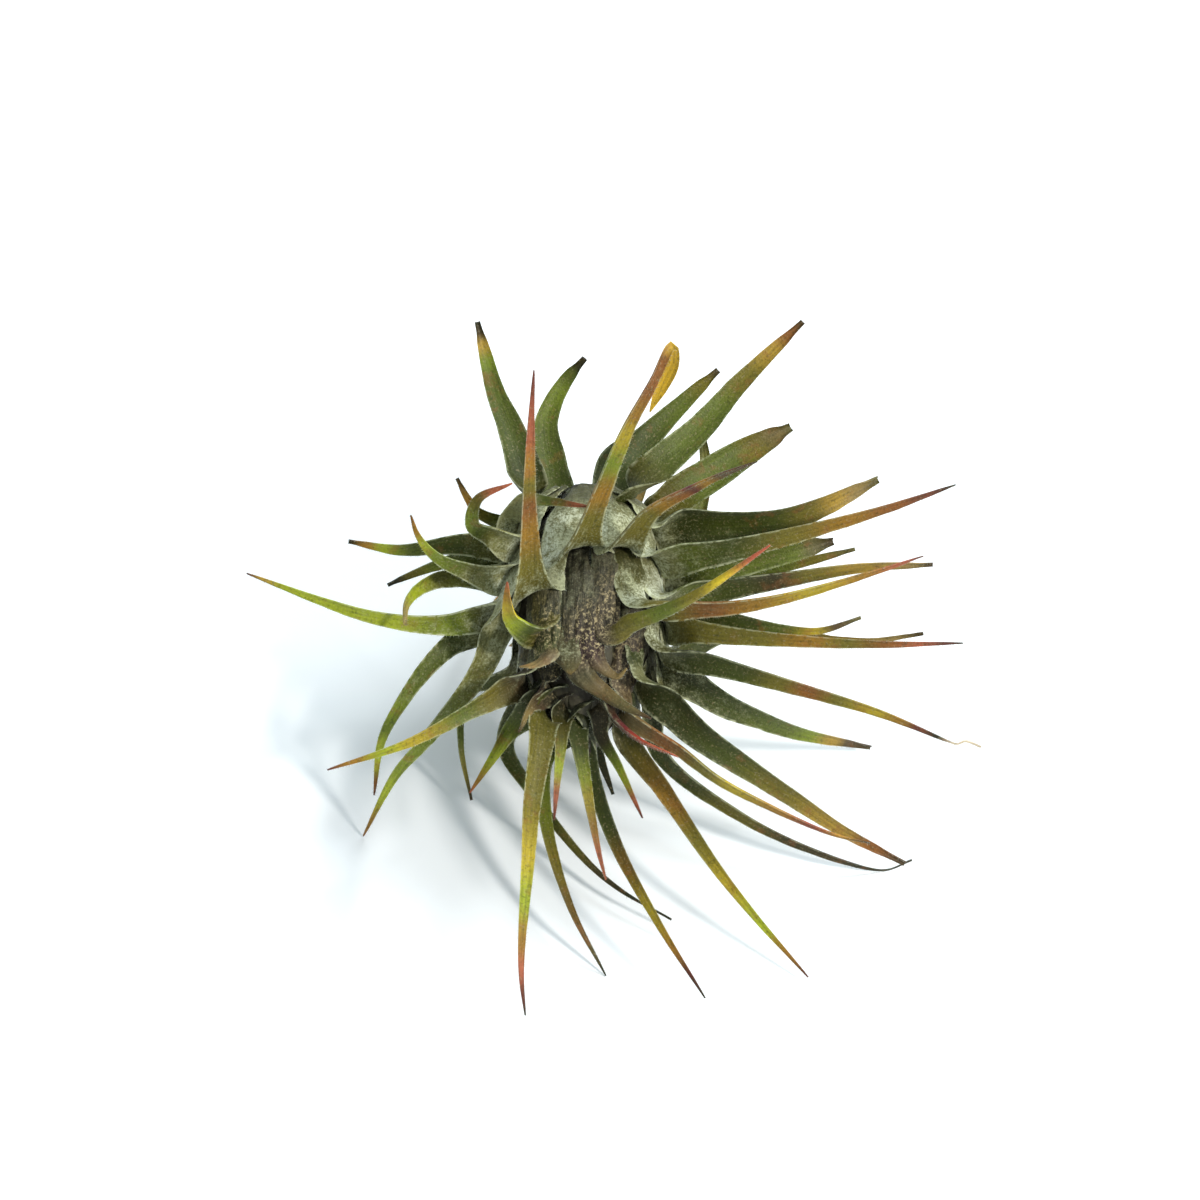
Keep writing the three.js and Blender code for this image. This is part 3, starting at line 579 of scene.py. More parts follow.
class Leaf:
    """A leaf of the table, and what follows from its row. In its methods, beyond is how far a
    point lies past the elbow, share is the share of the blade before it, and flare goes from 1
    on the sheath to 0 along the blade."""

    def __init__(self, name, row):
        (self.angle, self.elbow, self.half, self.facing, self.tip, self.slot, self.frosty,
         self.brown, self.sheath_tone, tones, *self.points) = row
        words = tones.split()
        self.stops = [(float(share), tone(word)) for word, share in zip(words[::2], words[1::2])]
        turn = math.radians(self.angle)
        self.out = RIGHT * math.sin(turn) + EYE_SIDE * math.cos(turn)
        self.column = self.brown > DRY
        self.open = self.elbow < UPPER
        self.papery = self.slot in PAPERY
        self.bulb_radius = radius_of(BULB, self.elbow)
        self.sheath_half = SHEATH_WIDTHS.get(name) or self.usual_sheath_half()
        self.widening = BASE_WIDENING * rise(abs(self.angle), *SIDES) * (self.elbow > OLDEST)

    def usual_sheath_half(self):
        if self.elbow > YOUNG:
            return self.half * YOUNG_WIDENING
        if self.elbow < OLDEST:
            return self.half * OLD_WIDENING
        if abs(self.angle) > UNDERSIDE:
            return BROAD_SHEATH
        if self.column:
            return COLUMN_WIDTH
        return min(max(SHEATH_WIDTH, self.half * SHEATH_WIDENING), self.half * MOST_WIDENING)

    def sheath_point(self, along, start):
        """A point of the sheath's middle line, which sinks into the bulb to its root end."""
        radius = radius_of(BULB, along)
        if not self.column:
            radius = min(radius, self.bulb_radius)
        slope = COLUMN_SLOPE if self.column else SHEATH_SLOPE
        radius -= slope * (self.elbow - along) + SHEATH_THICK / 2
        radius -= TUCK * max(1 - (along - start) / TUCK_LENGTH, 0)
        return MIDDLE + AHEAD * along + self.out * max(radius, LEAST_RADIUS)

    def sheath_line(self):
        """The root end, a point between, and the elbow."""
        elbow = self.elbow
        if elbow < OLDEST:
            line = [MIDDLE + AHEAD * (elbow + a) + self.out * r for a, r in OLD_ROOT]
            return [*line, MIDDLE + AHEAD * elbow + self.out * (self.bulb_radius - OLD_ELBOW)]
        length = COLUMN_LENGTH if self.column else SHEATH_LENGTH
        start = max(elbow - length, min(ROOT_END, elbow - LEAST_LENGTH))
        return [self.sheath_point(a, start) for a in (start, (start + elbow) / 2, elbow)]

    def line(self):
        """Points close together along the whole leaf."""
        sheath = self.sheath_line()
        blade = [point_seen(*p) for p in self.points]
        to_blade = (blade[0] - sheath[-1]).normalized()
        ahead = to_blade.dot(AHEAD)
        leaving = (to_blade + AHEAD + self.out * (1 - ahead) / 2).normalized()
        knee = [sheath[-1] + leaving * KNEE] if ahead > STRAIGHT else []
        return spline([*sheath, *knee, *blade], STEPS)

    def channel_sides(self, curve, beyond):
        """Which way the channel faces at each point: to the stem on the sheath, and turned
        round the leaf's line to the eye on the blade."""
        channel = -self.out
        twist = 0.0
        sides = []
        for i in range(len(curve)):
            along = (curve[min(i + 1, len(curve) - 1)] - curve[max(i - 1, 0)]).normalized()
            channel = (channel - along * channel.dot(along)).normalized()
            part = self.turned_part(beyond[i], beyond[-1])
            if not part:
                sides.append(channel)
                continue
            eyeward = (TO_EYE - along * TO_EYE.dot(along)).normalized()
            full = math.atan2(channel.cross(eyeward).dot(along), channel.dot(eyeward))
            if part < 0:  # the leaf shows its outer side
                full, part = full - math.copysign(math.pi, full), -part
            twist = full - math.tau * round((full - twist) / math.tau)
            sides.append(Matrix.Rotation(twist * part, 3, along) @ channel)
        return sides

    def turned_part(self, beyond, length):
        if self.tip == "folded":
            return rise(max(beyond / length, 0), *FOLD_TURN)
        return self.facing * rise(beyond, -TURN_LEAD, TURN_SHARE * length + TURN_LEAD)

    def section(self, point, beyond, share, flare):
        """Half width, thickness and curl."""
        base = self.half * (1 + self.widening * math.exp(-max(beyond, 0) / BASE_REACH))
        tip_width = THREAD_WIDTH if self.tip == "whisker" else TIP_WIDTH
        blade_half = tip_width + (base - tip_width) * TAPER[self.tip](share)
        sheath_half = self.sheath_half * min(stem_distance(point) / self.bulb_radius, 1)
        wide = lerp(blade_half, sheath_half, flare)
        thick = lerp(lerp(BLADE_THICK, TIP_THICK, share), SHEATH_THICK, flare)
        thick = min(thick, MOST_THICK * wide) * (PAPERY_THICK if self.papery else 1)
        curl = self.sheath_half / self.bulb_radius * (COLUMN_CURL if self.column else SHEATH_CURL)
        curl = lerp(curl, CHANNEL, rise(beyond, *CURL_CHANGE))
        if self.tip in ("cut", "blunt"):
            withered = rise(share, *WITHERED)
            curl = lerp(curl, WITHERED_CURL, withered)
            thick = lerp(thick, WITHERED_THICK, withered)
        return wide * MM, thick * MM, min(curl, wide / (thick / 2 + LEAST_BEND))

    def look(self, point, beyond, share, flare):
        """The tone, with painted shade on sheaths and in the hollows near the stem, and how
        silvery it is.
        """
        lead = COLUMN_LEAD if self.column else SHEATH_LEAD
        colour = tone(self.sheath_tone).lerp(
            blend_tones(self.stops, share), rise(beyond, -lead, lead + TONE_CHANGE))
        # Painted shade: darker towards the root ends of sheaths, and on sheaths up to the elbow
        lit = rise(beyond, *(LIT_OPEN if self.column or self.open else LIT))
        colour *= lerp(ROOT_SHADE, 1, lit) * (1 - ELBOW_SHADE * flare)
        # Painted shade in the hollows near the stem, which also dims the silvery scales there
        inside = lerp(HOLLOW_SHADE, 1, rise(stem_distance(point), *HOLLOW))
        colour *= inside * (1 + TIP_LIGHT * min(share, 1))
        if self.column:
            sheath_frost = COLUMN_FROST * rise(-beyond, *COLUMN_FROST_START)
        else:
            sheath_frost = SHEATH_FROST * HOAR.get(self.sheath_tone, OTHER_HOAR) * rise(
                beyond, *(FROST_START_OPEN if self.open else FROST_START))
        blade_frost = self.frosty * (TIP_FROST + BASE_FROST * (1 - share) ** 2)
        return colour, inside * lerp(blade_frost, sheath_frost, flare)

    def guide(self):
        """What the leaf is at each point of its line, by the names that the leaf tree reads, and
        its length."""
        curve = self.line()
        travelled = [0.0]
        for a, b in zip(curve, curve[1:]):
            travelled.append(travelled[-1] + (b - a).length)
        elbow_at = travelled[2 * STEPS]
        beyonds = [t - elbow_at for t in travelled]
        guide = {"place": [p * MM for p in curve], "channel": self.channel_sides(curve, beyonds),
                 "shape": [], "tone": [], "finish": [], "wrinkle": []}
        for point, beyond in zip(curve, beyonds):
            share = max(beyond / beyonds[-1], 0)
            flare = min(math.exp(-beyond / FLARE), 1) * math.sqrt(1 - min(share, 1))
            colour, frost = self.look(point, beyond, share, flare)
            guide["shape"].append(self.section(point, beyond, share, flare))
            guide["tone"].append(colour)
            guide["finish"].append((frost, self.brown * flare, beyond / beyonds[-1]))
            guide["wrinkle"].append((
                flare * (SHEATH_WRINKLES + self.brown)
                + (PAPERY_WRINKLES if self.papery else BLADE_WRINKLES),
                self.brown * flare * rise(beyond, *GLINTS), 0))
        return guide, travelled[-1]


# ---------------------------------------------------------------- writing node trees

class Flow:
    """A socket in a node tree. Operators on it add Math or Vector Math nodes."""

    def __init__(self, net, socket):
        self.net = net
        self.socket = socket
        self.vector = socket.type in ("VECTOR", "RGBA")

    def maths(self, operation, other, swapped=False):
        pair = (other, self) if swapped else (self, other)
        if not any(isinstance(v, Flow) and v.vector for v in pair):
            return self.net.call(operation, *pair)
        plain = [v for v in pair if not (isinstance(v, Flow) and v.vector)
                 and not isinstance(v, (tuple, Vector))]
        if operation == "MULTIPLY" and plain:
            scaled = [v for v in pair if v is not plain[0]][0]
            return self.net.scale(scaled, plain[0])
        return self.net.vector(operation, *pair)

    def __add__(self, other):
        return self.maths("ADD", other)

    def __sub__(self, other):
        return self.maths("SUBTRACT", other)

    def __mul__(self, other):
        return self.maths("MULTIPLY", other)

    def __truediv__(self, other):
        return self.maths("DIVIDE", other)

    def __pow__(self, other):
        return self.maths("POWER", other)

    def __mod__(self, other):
        return self.maths("FLOORED_MODULO", other)

    def __radd__(self, other):
        return self.maths("ADD", other, True)

    def __rsub__(self, other):
        return self.maths("SUBTRACT", other, True)

    def __rmul__(self, other):
        return self.maths("MULTIPLY", other, True)

    def __rtruediv__(self, other):
        return self.maths("DIVIDE", other, True)


class Net:
    """A node tree that is being written."""

    def __init__(self, tree):
        self.tree = tree

    def add(self, kind, settings=None, sockets=None, out=None):
        """Adds a node: its settings first, then the values or links of its sockets. Returns the
        output named out, a list of them, or the first one that is in use."""
        node = self.tree.nodes.new(kind)
        for key, value in (settings or {}).items():
            setattr(node, key, value)
        for key, value in (sockets or {}).items():
            socket = node.inputs[key] if isinstance(key, int) else next(
                s for s in node.inputs if s.name == key and s.enabled)
            if isinstance(value, Flow):
                self.tree.links.new(value.socket, socket)
            else:
                socket.default_value = value
        outputs = [s for s in node.outputs if s.enabled]
        if not outputs:
            return node
        if isinstance(out, tuple):
            return [Flow(self, next(s for s in outputs if s.name == name)) for name in out]
        return Flow(self, next(s for s in outputs if out in (None, s.name)))

    def call(self, operation, *values):
        return self.add("ShaderNodeMath", {"operation": operation}, dict(enumerate(values)))

    def vector(self, operation, *values):
        return self.add("ShaderNodeVectorMath", {"operation": operation}, dict(enumerate(values)))

    def scale(self, vector, factor):
        return self.add("ShaderNodeVectorMath", {"operation": "SCALE"},
                        {0: vector, "Scale": factor})

    def constant(self, vector):
        return self.add("FunctionNodeInputVector", {"vector": vector})

    def join(self, x, y, z=0.0):
        return self.add("ShaderNodeCombineXYZ", {}, {0: x, 1: y, 2: z})

    def split(self, vector):
        return self.add("ShaderNodeSeparateXYZ", {}, {0: vector}, ("X", "Y", "Z"))

    def mix(self, factor, a, b):
        """A mix of two colours."""
        return self.add("ShaderNodeMix", {"data_type": "RGBA"}, {"Factor": factor, "A": a, "B": b})

    def range(self, value, low, high, to_low=0.0, to_high=1.0):
        """Value from low to high, smoothly mapped to 0 to 1 or to the given limits."""
        return self.add("ShaderNodeMapRange", {"interpolation_type": "SMOOTHSTEP"},
                        {"Value": value, "From Min": low, "From Max": high, "To Min": to_low,
                         "To Max": to_high})

    def noise(self, vector, scale, detail=2.0, roughness=0.5):
        return self.add("ShaderNodeTexNoise", {"noise_dimensions": "3D"}, {
            "Vector": vector, "Scale": scale, "Detail": detail, "Roughness": roughness}, "Fac")

    def seeded_noise(self, vector, seed):
        return self.add("ShaderNodeTexNoise", {"noise_dimensions": "4D"}, {
            "Vector": vector, "W": seed, "Scale": 1.0, "Detail": 3.0}, "Fac")

    def random(self, kind, low, high, index, seed):
        return self.add("FunctionNodeRandomValue", {"data_type": kind},
                        {"Min": low, "Max": high, "ID": index, "Seed": seed})

    def lay(self, geometry, position):
        return self.add("GeometryNodeSetPosition", {},
                        {"Geometry": geometry, "Position": position})

    def coat(self, geometry, material):
        return self.add("GeometryNodeSetMaterial", {},
                        {"Geometry": geometry, "Material": material})

    def store(self, geometry, name, value):
        return self.add("GeometryNodeStoreNamedAttribute",
                        {"data_type": "FLOAT_VECTOR", "domain": "POINT"},
                        {"Geometry": geometry, "Name": name, "Value": value})


def new_tree(name, inputs):
    """A Geometry Nodes tree with named inputs. Returns its net, the inputs and their ids."""
    tree = bpy.data.node_groups.new(name, "GeometryNodeTree")
    tree.interface.new_socket("Geometry", in_out="INPUT", socket_type="NodeSocketGeometry")
    tree.interface.new_socket("Geometry", in_out="OUTPUT", socket_type="NodeSocketGeometry")
    ids = {label: tree.interface.new_socket(
        label, in_out="INPUT", socket_type="NodeSocket" + kind).identifier
        for label, kind in inputs.items()}
    net = Net(tree)
    entry = tree.nodes.new("NodeGroupInput")
    return net, {s.name: Flow(net, s) for s in entry.outputs if s.name}, ids


# ---------------------------------------------------------------- the leaf tree

def sampled(net, curve, factor):
    """What the guide curve says at a factor of its length."""
    def value(name, *outs):
        attribute = net.add("GeometryNodeInputNamedAttribute", {"data_type": "FLOAT_VECTOR"},
                            {"Name": name})
        return net.add("GeometryNodeSampleCurve",
                       {"mode": "FACTOR", "data_type": "FLOAT_VECTOR", "use_all_curves": True},
                       {"Curves": curve, "Value": attribute, "Factor": factor}, outs)
    channel, place, tangent = value("channel", "Value", "Position", "Tangent")
    (shape,), (colour,), (finish,), (wrinkle,) = (
        value(name, "Value") for name in ("shape", "tone", "finish", "wrinkle"))
    side = net.vector("NORMALIZE", net.vector("CROSS_PRODUCT", tangent, channel))
    channel = net.vector("NORMALIZE", channel)
    return place, tangent, channel, side, net.split(shape), colour, finish, wrinkle


def on_arc(net, place, channel, side, shape, across, lift):
    """A point of the leaf's skin: across from -1 to 1 between its margins, and lift towards the
    channel as a share of half the thickness."""
    wide, thick, curl = shape
    radius = wide / curl
    turn = curl * across
    reach = radius - thick / 2 * lift
    return (place + channel * (radius - reach * net.call("COSINE", turn))
            + side * (reach * net.call("SINE", turn)))


def leaf_skin(net, given, curve):
    """A tube whose rows are laid along the guide, denser near the root end."""
    tube = net.add("GeometryNodeMeshCylinder", {"fill_type": "TRIANGLE_FAN"},
                   {"Vertices": given["Around"], "Side Segments": given["Rows"], "Radius": 1.0,
                    "Depth": 1.0}, "Mesh")
    across, round_lift, height = net.split(net.add("GeometryNodeInputPosition"))
    lift = round_lift * net.call("POWER", net.call("ABSOLUTE", round_lift), 0.6)
    factor = net.call("POWER", net.call("MAXIMUM", height + 0.5, 0.0), 1.2)
    place, _, channel, side, (wide, thick, curl), colour, finish, wrinkle = sampled(
        net, curve, factor)
    along = factor * given["Length"]
    rough, _, _ = net.split(wrinkle)
    seed = given["Seed"] * 7.31

    # The margins wander in and out and up and down, and the skin has folds along the leaf
    sway = net.seeded_noise(net.join(along * 260, across * 1.2, lift * 0.6), seed)
    wave = (sway - 0.5) * given["Wander"]
    margin = net.call("ABSOLUTE", across) ** 2
    wide = wide * (1 + wave * margin * (0.5 + rough * 0.8))
    spot = on_arc(net, place, channel, side, (wide, thick, curl), across, lift)
    folds = net.seeded_noise(net.join(across * wide * 1500, along * 330, wave), seed + 3)
    spot = spot + channel * (wave * 0.0006 * margin + (folds - 0.5) * rough * 0.0014)
    x, y, z = net.split(spot)
    spot = net.join(x, y, net.call("MAXIMUM", z, 0.0))  # no lower than the table

    _, _, blade_share = net.split(finish)
    skin = tube
    for name, value in (("lane", net.join(across * wide, along, lift)),
                        ("brim", net.join(across, lift, blade_share)), ("tone", colour),
                        ("finish", finish), ("wrinkle", wrinkle)):
        skin = net.store(skin, name, value)
    skin = net.add("GeometryNodeSetShadeSmooth", {}, {"Geometry": net.lay(skin, spot)})
    return net.coat(skin, given["Skin"])


def leaf_fringe(net, given, curve):
    """Hairs on both margins, which point outwards and a little to the tip."""
    points = net.add("GeometryNodePoints", {}, {"Count": given["Hairs"]})
    index = net.add("GeometryNodeInputIndex")
    jitter = net.random("FLOAT", 0.0, 1.0, index, given["Seed"])
    margin_side = (index % 2) * 2 - 1
    where = (index + jitter) / given["Hairs"]
    place, tangent, channel, side, shape, colour, finish, _ = sampled(net, curve, where)
    turn = shape[2] * margin_side
    outward = (channel * net.call("SINE", turn) + side * net.call("COSINE", turn)) * margin_side
    root = on_arc(net, place, channel, side, shape, margin_side * 0.985, 0.0)
    stray = net.random("FLOAT_VECTOR", (-0.5, -0.5, -0.5), (0.5, 0.5, 0.5), index,
                       given["Seed"] + 5)
    lean = net.add("FunctionNodeAlignRotationToVector", {"axis": "Z"},
                   {"Vector": outward + tangent * 0.55 + stray})
    points = net.lay(points, root)
    points = net.store(net.store(points, "tone", colour), "finish", finish)
    hair = net.add("GeometryNodeMeshCone", {"fill_type": "TRIANGLE_FAN"}, {
        "Vertices": 3, "Radius Top": 0.0, "Radius Bottom": given["Hair width"],
        "Depth": given["Hair length"]}, "Mesh")
    hairs = net.add("GeometryNodeInstanceOnPoints", {}, {
        "Points": points, "Instance": hair, "Rotation": lean,
        "Scale": net.random("FLOAT", 0.35, 1.25, index, given["Seed"] + 9)})
    hairs = net.add("GeometryNodeRealizeInstances", {}, {"Geometry": hairs})
    return net.coat(hairs, given["Fuzz"])


def leaf_tree():
    net, given, ids = new_tree("leaf", {
        "Rows": "Int", "Around": "Int", "Length": "Float", "Hairs": "Int",
        "Hair length": "Float", "Hair width": "Float", "Wander": "Float", "Seed": "Int",
        "Skin": "Material", "Fuzz": "Material"})
    curve = net.add("GeometryNodeMeshToCurve", {}, {"Mesh": given["Geometry"]})
    both = net.tree.nodes.new("GeometryNodeJoinGeometry")
    for part in (leaf_fringe(net, given, curve), leaf_skin(net, given, curve)):
        net.tree.links.new(part.socket, both.inputs[0])
    net.add("NodeGroupOutput", {}, {0: Flow(net, both.outputs[0])})
    return net.tree, ids


# ---------------------------------------------------------------- materials

def new_material(name):
    """A material, its net, and Object coordinates."""
    material = bpy.data.materials.new(name)
    material.use_nodes = True
    material.node_tree.nodes.clear()
    net = Net(material.node_tree)
    return material, net, net.add("ShaderNodeTexCoord", {}, {}, "Object")


def surface(net, settings, bumps=None, depth=0.0):
    """A Principled shader with its sockets, bumps of that depth, and the output."""
    if bumps:
        settings["Normal"] = net.add("ShaderNodeBump", {}, {
            "Strength": 0.6, "Distance": depth, "Height": bumps})
    shader = net.add("ShaderNodeBsdfPrincipled", {}, settings)
    net.add("ShaderNodeOutputMaterial", {}, {"Surface": shader})


def leaf_attribute(net, name, out="Vector"):
    return net.add("ShaderNodeAttribute", {"attribute_name": name}, {}, out)


def skin_material():
    """Leaf skin: its tone runs along the leaf, with streaks and rusty blotches, dry brown skin on
    some sheaths, and silvery scales that thin out to the tip and gather on the margins. The
    scales of its patterns are counts to the metre."""
    material, net, where = new_material("leaf_skin")
    across_m, along_m, _ = net.split(leaf_attribute(net, "lane"))
    across, lift, share = net.split(leaf_attribute(net, "brim"))
    frost, brown, _ = net.split(leaf_attribute(net, "finish"))
    _, glint, _ = net.split(leaf_attribute(net, "wrinkle"))
    base = leaf_attribute(net, "tone", "Color")

    # Streaks along the leaf, and broad uneven patches
    streak = net.noise(net.join(across_m * 2600, along_m * 160), 1.0, 3.0)
    patch = net.noise(where, 190.0, 3.0)
    grain = net.noise(where, 2600.0, 3.0, 0.7)
    shade = net.call("MAXIMUM", streak * 1.1 + patch * 0.7 + grain * 0.8 - 0.35, 0.12)
    colour = net.scale(base, shade) * net.mix(
        brown, (1.07, 0.98, 0.55, 1), (0.76, 0.72, 0.64, 1))
    inner_side = net.range(lift, -0.1, 0.3)
    colour = net.mix(inner_side * 0.35, colour, paint("deep"))
    blotch = net.noise(where, 330.0, 4.0, 0.65)
    rusty = net.range(blotch, 0.54, 0.66) * net.range(share, 0.12, 0.5) * net.range(
        share, 1.0, 0.85)
    colour = net.mix(rusty * 0.35, colour, paint("rust"))

    # Fine golden and dark specks
    speck = net.range(net.noise(where, 2900.0, 2.0, 0.6), 0.58, 0.7)
    colour = net.mix(speck * 0.42, colour, paint("beige", 0.9))
    pore = net.range(net.noise(where, 1700.0, 2.0, 0.6), 0.42, 0.34)
    colour = net.mix(pore * 0.35, colour, paint("deep", 0.7))

    # Dry sheath skin: brown, with pale glints low on it
    crumbs = net.noise(where, 2200.0, 3.0, 0.7)
    wrinkle = net.noise(net.join(across_m * 3400, along_m * 420), 1.0, 4.0, 0.6)
    earthy = net.scale(base, net.range(wrinkle + crumbs * 0.5, 0.5, 1.0, 0.3, 1.5))
    glints = net.range(crumbs, 0.5, 0.64) * glint * net.range(patch, 0.3, 0.55, 0.3, 1.0)
    earthy = net.mix(glints * 0.85, earthy, paint("beige", 1.5))
    colour = net.mix(net.call("MINIMUM", brown * 1.2, 1.0), colour, earthy)

    # Scales: single ones, and felt where they are dense
    cells = net.add("ShaderNodeTexVoronoi", {"feature": "F1"}, {
        "Vector": where, "Scale": 3600.0, "Randomness": 1.0}, "Distance")
    scales = net.range(cells, 0.55, 0.25) * net.range(grain + frost * 0.25, 0.5, 0.8)
    tufts = net.noise(where, 520.0, 4.0, 0.65) + streak * 0.15 + frost * 0.25
    cover = (scales * 0.5 + net.range(tufts, 0.66, 1.0) * 0.95) * frost * (1 - brown * 0.6)
    cover = net.call("MINIMUM", cover, 0.95)
    dull = net.mix(net.range(frost, 0.8, 1.3), paint("frost", 0.8), paint("felt", 0.7))
    pale = net.mix(net.range(patch, 0.35, 0.62) * net.range(frost, 0.7, 1.2),
                   paint("felt", 1.1), paint("down", 1.5))
    colour = net.mix(cover, colour, net.mix(net.range(grain, 0.34, 0.6), dull, pale))

    # Pale margins
    edge = net.range(net.call("ABSOLUTE", across), 0.84, 0.98)
    edge = edge * net.range(net.noise(where, 1300.0, 2.0), 0.35, 0.6) * net.range(
        frost, 0.0, 0.6, 0.35, 1.0)
    colour = net.mix(edge * net.range(share, 1.0, 0.5), colour, paint("felt", 1.1))

    surface(net, {
        "Base Color": colour, "Roughness": 0.5 + cover * 0.3, "Specular IOR Level": 0.25,
        "Sheen Weight": 0.05, "Sheen Roughness": 0.4},
        cells * -0.4 + streak * 0.8 + grain * 0.6 + wrinkle * brown * 2.5, 0.00014)
    return material


def fuzz_material():
    """Silvery hairs, tinted by the leaf that they grow on."""
    material, net, where = new_material("leaf_fuzz")
    vary = net.range(net.noise(where, 900.0), 0.3, 0.7, 0.45, 0.85)
    surface(net, {
        "Base Color": net.mix(vary, leaf_attribute(net, "tone", "Color"), (0.52, 0.55, 0.45, 1)),
        "Roughness": 0.7})
    return material


def heart_material():
    """Dark brown skin of the heart, painted darker still as shade in the hollows between the
    leaves, with crumbs of old scales.
    """
    material, net, where = new_material("heart_skin")
    patch = net.noise(where, 260.0, 3.0)
    crumbs = net.noise(where, 1600.0, 3.0)
    # Painted shade: the heart's browns are dimmed to 0.4 and 0.6 of their tones
    colour = net.mix(net.range(patch, 0.35, 0.65), paint("bark", 0.4), paint("ash", 0.6))
    colour = net.mix(net.range(crumbs, 0.55, 0.75, 0.0, 0.3), colour, paint("frost"))
    surface(net, {"Base Color": colour, "Roughness": 0.7}, crumbs, 0.0002)
    return material


def table_material():
    """White, with a faint glow behind the plant that thins its shadows there."""
    material, net, where = new_material("table")
    vary = net.noise(where, 12.0, 2.0)
    aside, away, _ = net.split(where)
    behind = net.range(away, 0.008, 0.034) * net.range(away, 0.3, 0.12) * net.range(
        net.call("ABSOLUTE", aside), 0.3, 0.12)
    surface(net, {
        "Base Color": net.mix(vary, (0.88, 0.9, 0.92, 1), (0.92, 0.93, 0.94, 1)),
        "Roughness": 0.6, "Specular IOR Level": 0.2, "Emission Strength": 0.2,
        "Emission Color": net.mix(behind, (0, 0, 0, 1), (1, 1, 1, 1))})
    return material


# ---------------------------------------------------------------- pieces

def link(name, mesh):
    piece = bpy.data.objects.new(name, mesh)
    bpy.context.scene.collection.objects.link(piece)
    return piece


def grown(name, mesh, tree, ids, values):
    """A piece that the tree makes of the mesh with those values, as a plain mesh."""
    piece = link(name, mesh)
    modifier = piece.modifiers.new("shape", "NODES")
    modifier.node_group = tree
    for label, value in values.items():
        modifier[ids[label]] = value
    graph = bpy.context.evaluated_depsgraph_get()
    plain = bpy.data.meshes.new_from_object(
        piece.evaluated_get(graph), preserve_all_data_layers=True, depsgraph=graph)
    piece.modifiers.clear()
    piece.data = plain
    return piece


def line_mesh(name, places):
    mesh = bpy.data.meshes.new(name)
    mesh.from_pydata(places, [(i, i + 1) for i in range(len(places) - 1)], [])
    return mesh


def settle(piece, node, slot):
    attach(piece, "root")
    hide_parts(node)


def add_leaf(name, row, seed, tree, ids, skin, fuzz):
    leaf = Leaf(name, row)
    guide, length = leaf.guide()
    mesh = line_mesh(name + "_guide", guide.pop("place"))
    for label, vectors in guide.items():
        layer = mesh.attributes.new(label, "FLOAT_VECTOR", "POINT")
        layer.data.foreach_set("vector", [v for vector in vectors for v in vector])
    piece = grown("plant_" + name, mesh, tree, ids, {
        "Rows": LEAST_ROWS + int(length * ROWS_PER_MM), "Around": AROUND,
        "Length": length * MM, "Hairs": int(length * HAIRS_PER_MM),
        "Hair length": HAIR_LENGTH * MM, "Hair width": HAIR_WIDTH * MM, "Wander": WANDER,
        "Seed": seed, "Skin": skin, "Fuzz": fuzz})
    settle(piece, name.removesuffix("_spur"), "leaf_" + leaf.slot)


def bract_tree():
    """Slender bracts that wind round the heart in a spiral and overlap like those of a bud."""
    net, given, ids = new_tree("bracts", {
        "Count": "Int", "Length": "Float", "Width": "Float", "Seed": "Int", "Skin": "Material"})
    right, eye_side, ahead = (net.constant(v) for v in (RIGHT, EYE_SIDE, AHEAD))
    profile = net.add("GeometryNodeMeshToCurve", {}, {"Mesh": given["Geometry"]})
    points = net.add("GeometryNodePoints", {}, {"Count": given["Count"]})
    index = net.add("GeometryNodeInputIndex")
    on_profile, tangent = net.add(
        "GeometryNodeSampleCurve", {"mode": "FACTOR", "use_all_curves": True},
        {"Curves": profile, "Factor": (index + 0.5) / given["Count"]}, ("Position", "Tangent"))
    along, radius, _ = net.split(on_profile)
    slope_along, slope_out, _ = net.split(tangent)
    turn = index * math.radians(137.5)  # the golden angle
    out = net.call("SINE", turn) * right + net.call("COSINE", turn) * eye_side
    place = out * radius + ahead * along + net.constant(MIDDLE * MM)
    upright = net.add("FunctionNodeAlignRotationToVector", {"axis": "Z"}, {
        "Vector": ahead * (slope_along + 0.5) + out * (slope_out + 0.25)})
    facing = net.add("FunctionNodeAlignRotationToVector", {"axis": "Y", "pivot_axis": "Z"},
                     {"Rotation": upright, "Vector": out})
    cone = net.add("GeometryNodeMeshCone", {"fill_type": "TRIANGLE_FAN"}, {
        "Vertices": 8, "Side Segments": 5, "Radius Top": 0.0,
        "Radius Bottom": given["Width"], "Depth": given["Length"]}, "Mesh")
    x, y, z = net.split(net.add("GeometryNodeInputPosition"))
    share = z / given["Length"]
    bract = net.lay(cone, net.join(
        x * (1 + share * (1 - share) * 2.0), y * 0.35 - share * share * given["Width"],
        z - given["Length"] * 0.3))
    bracts = net.add("GeometryNodeInstanceOnPoints", {}, {
        "Points": net.lay(points, place), "Instance": bract, "Rotation": facing,
        "Scale": net.random("FLOAT", 0.7, 1.25, index, given["Seed"])})
    bracts = net.add("GeometryNodeRealizeInstances", {}, {"Geometry": bracts})
    bracts = net.add("GeometryNodeSetShadeSmooth", {}, {"Geometry": bracts})
    net.add("NodeGroupOutput", {}, {0: net.coat(bracts, given["Skin"])})
    return net.tree, ids


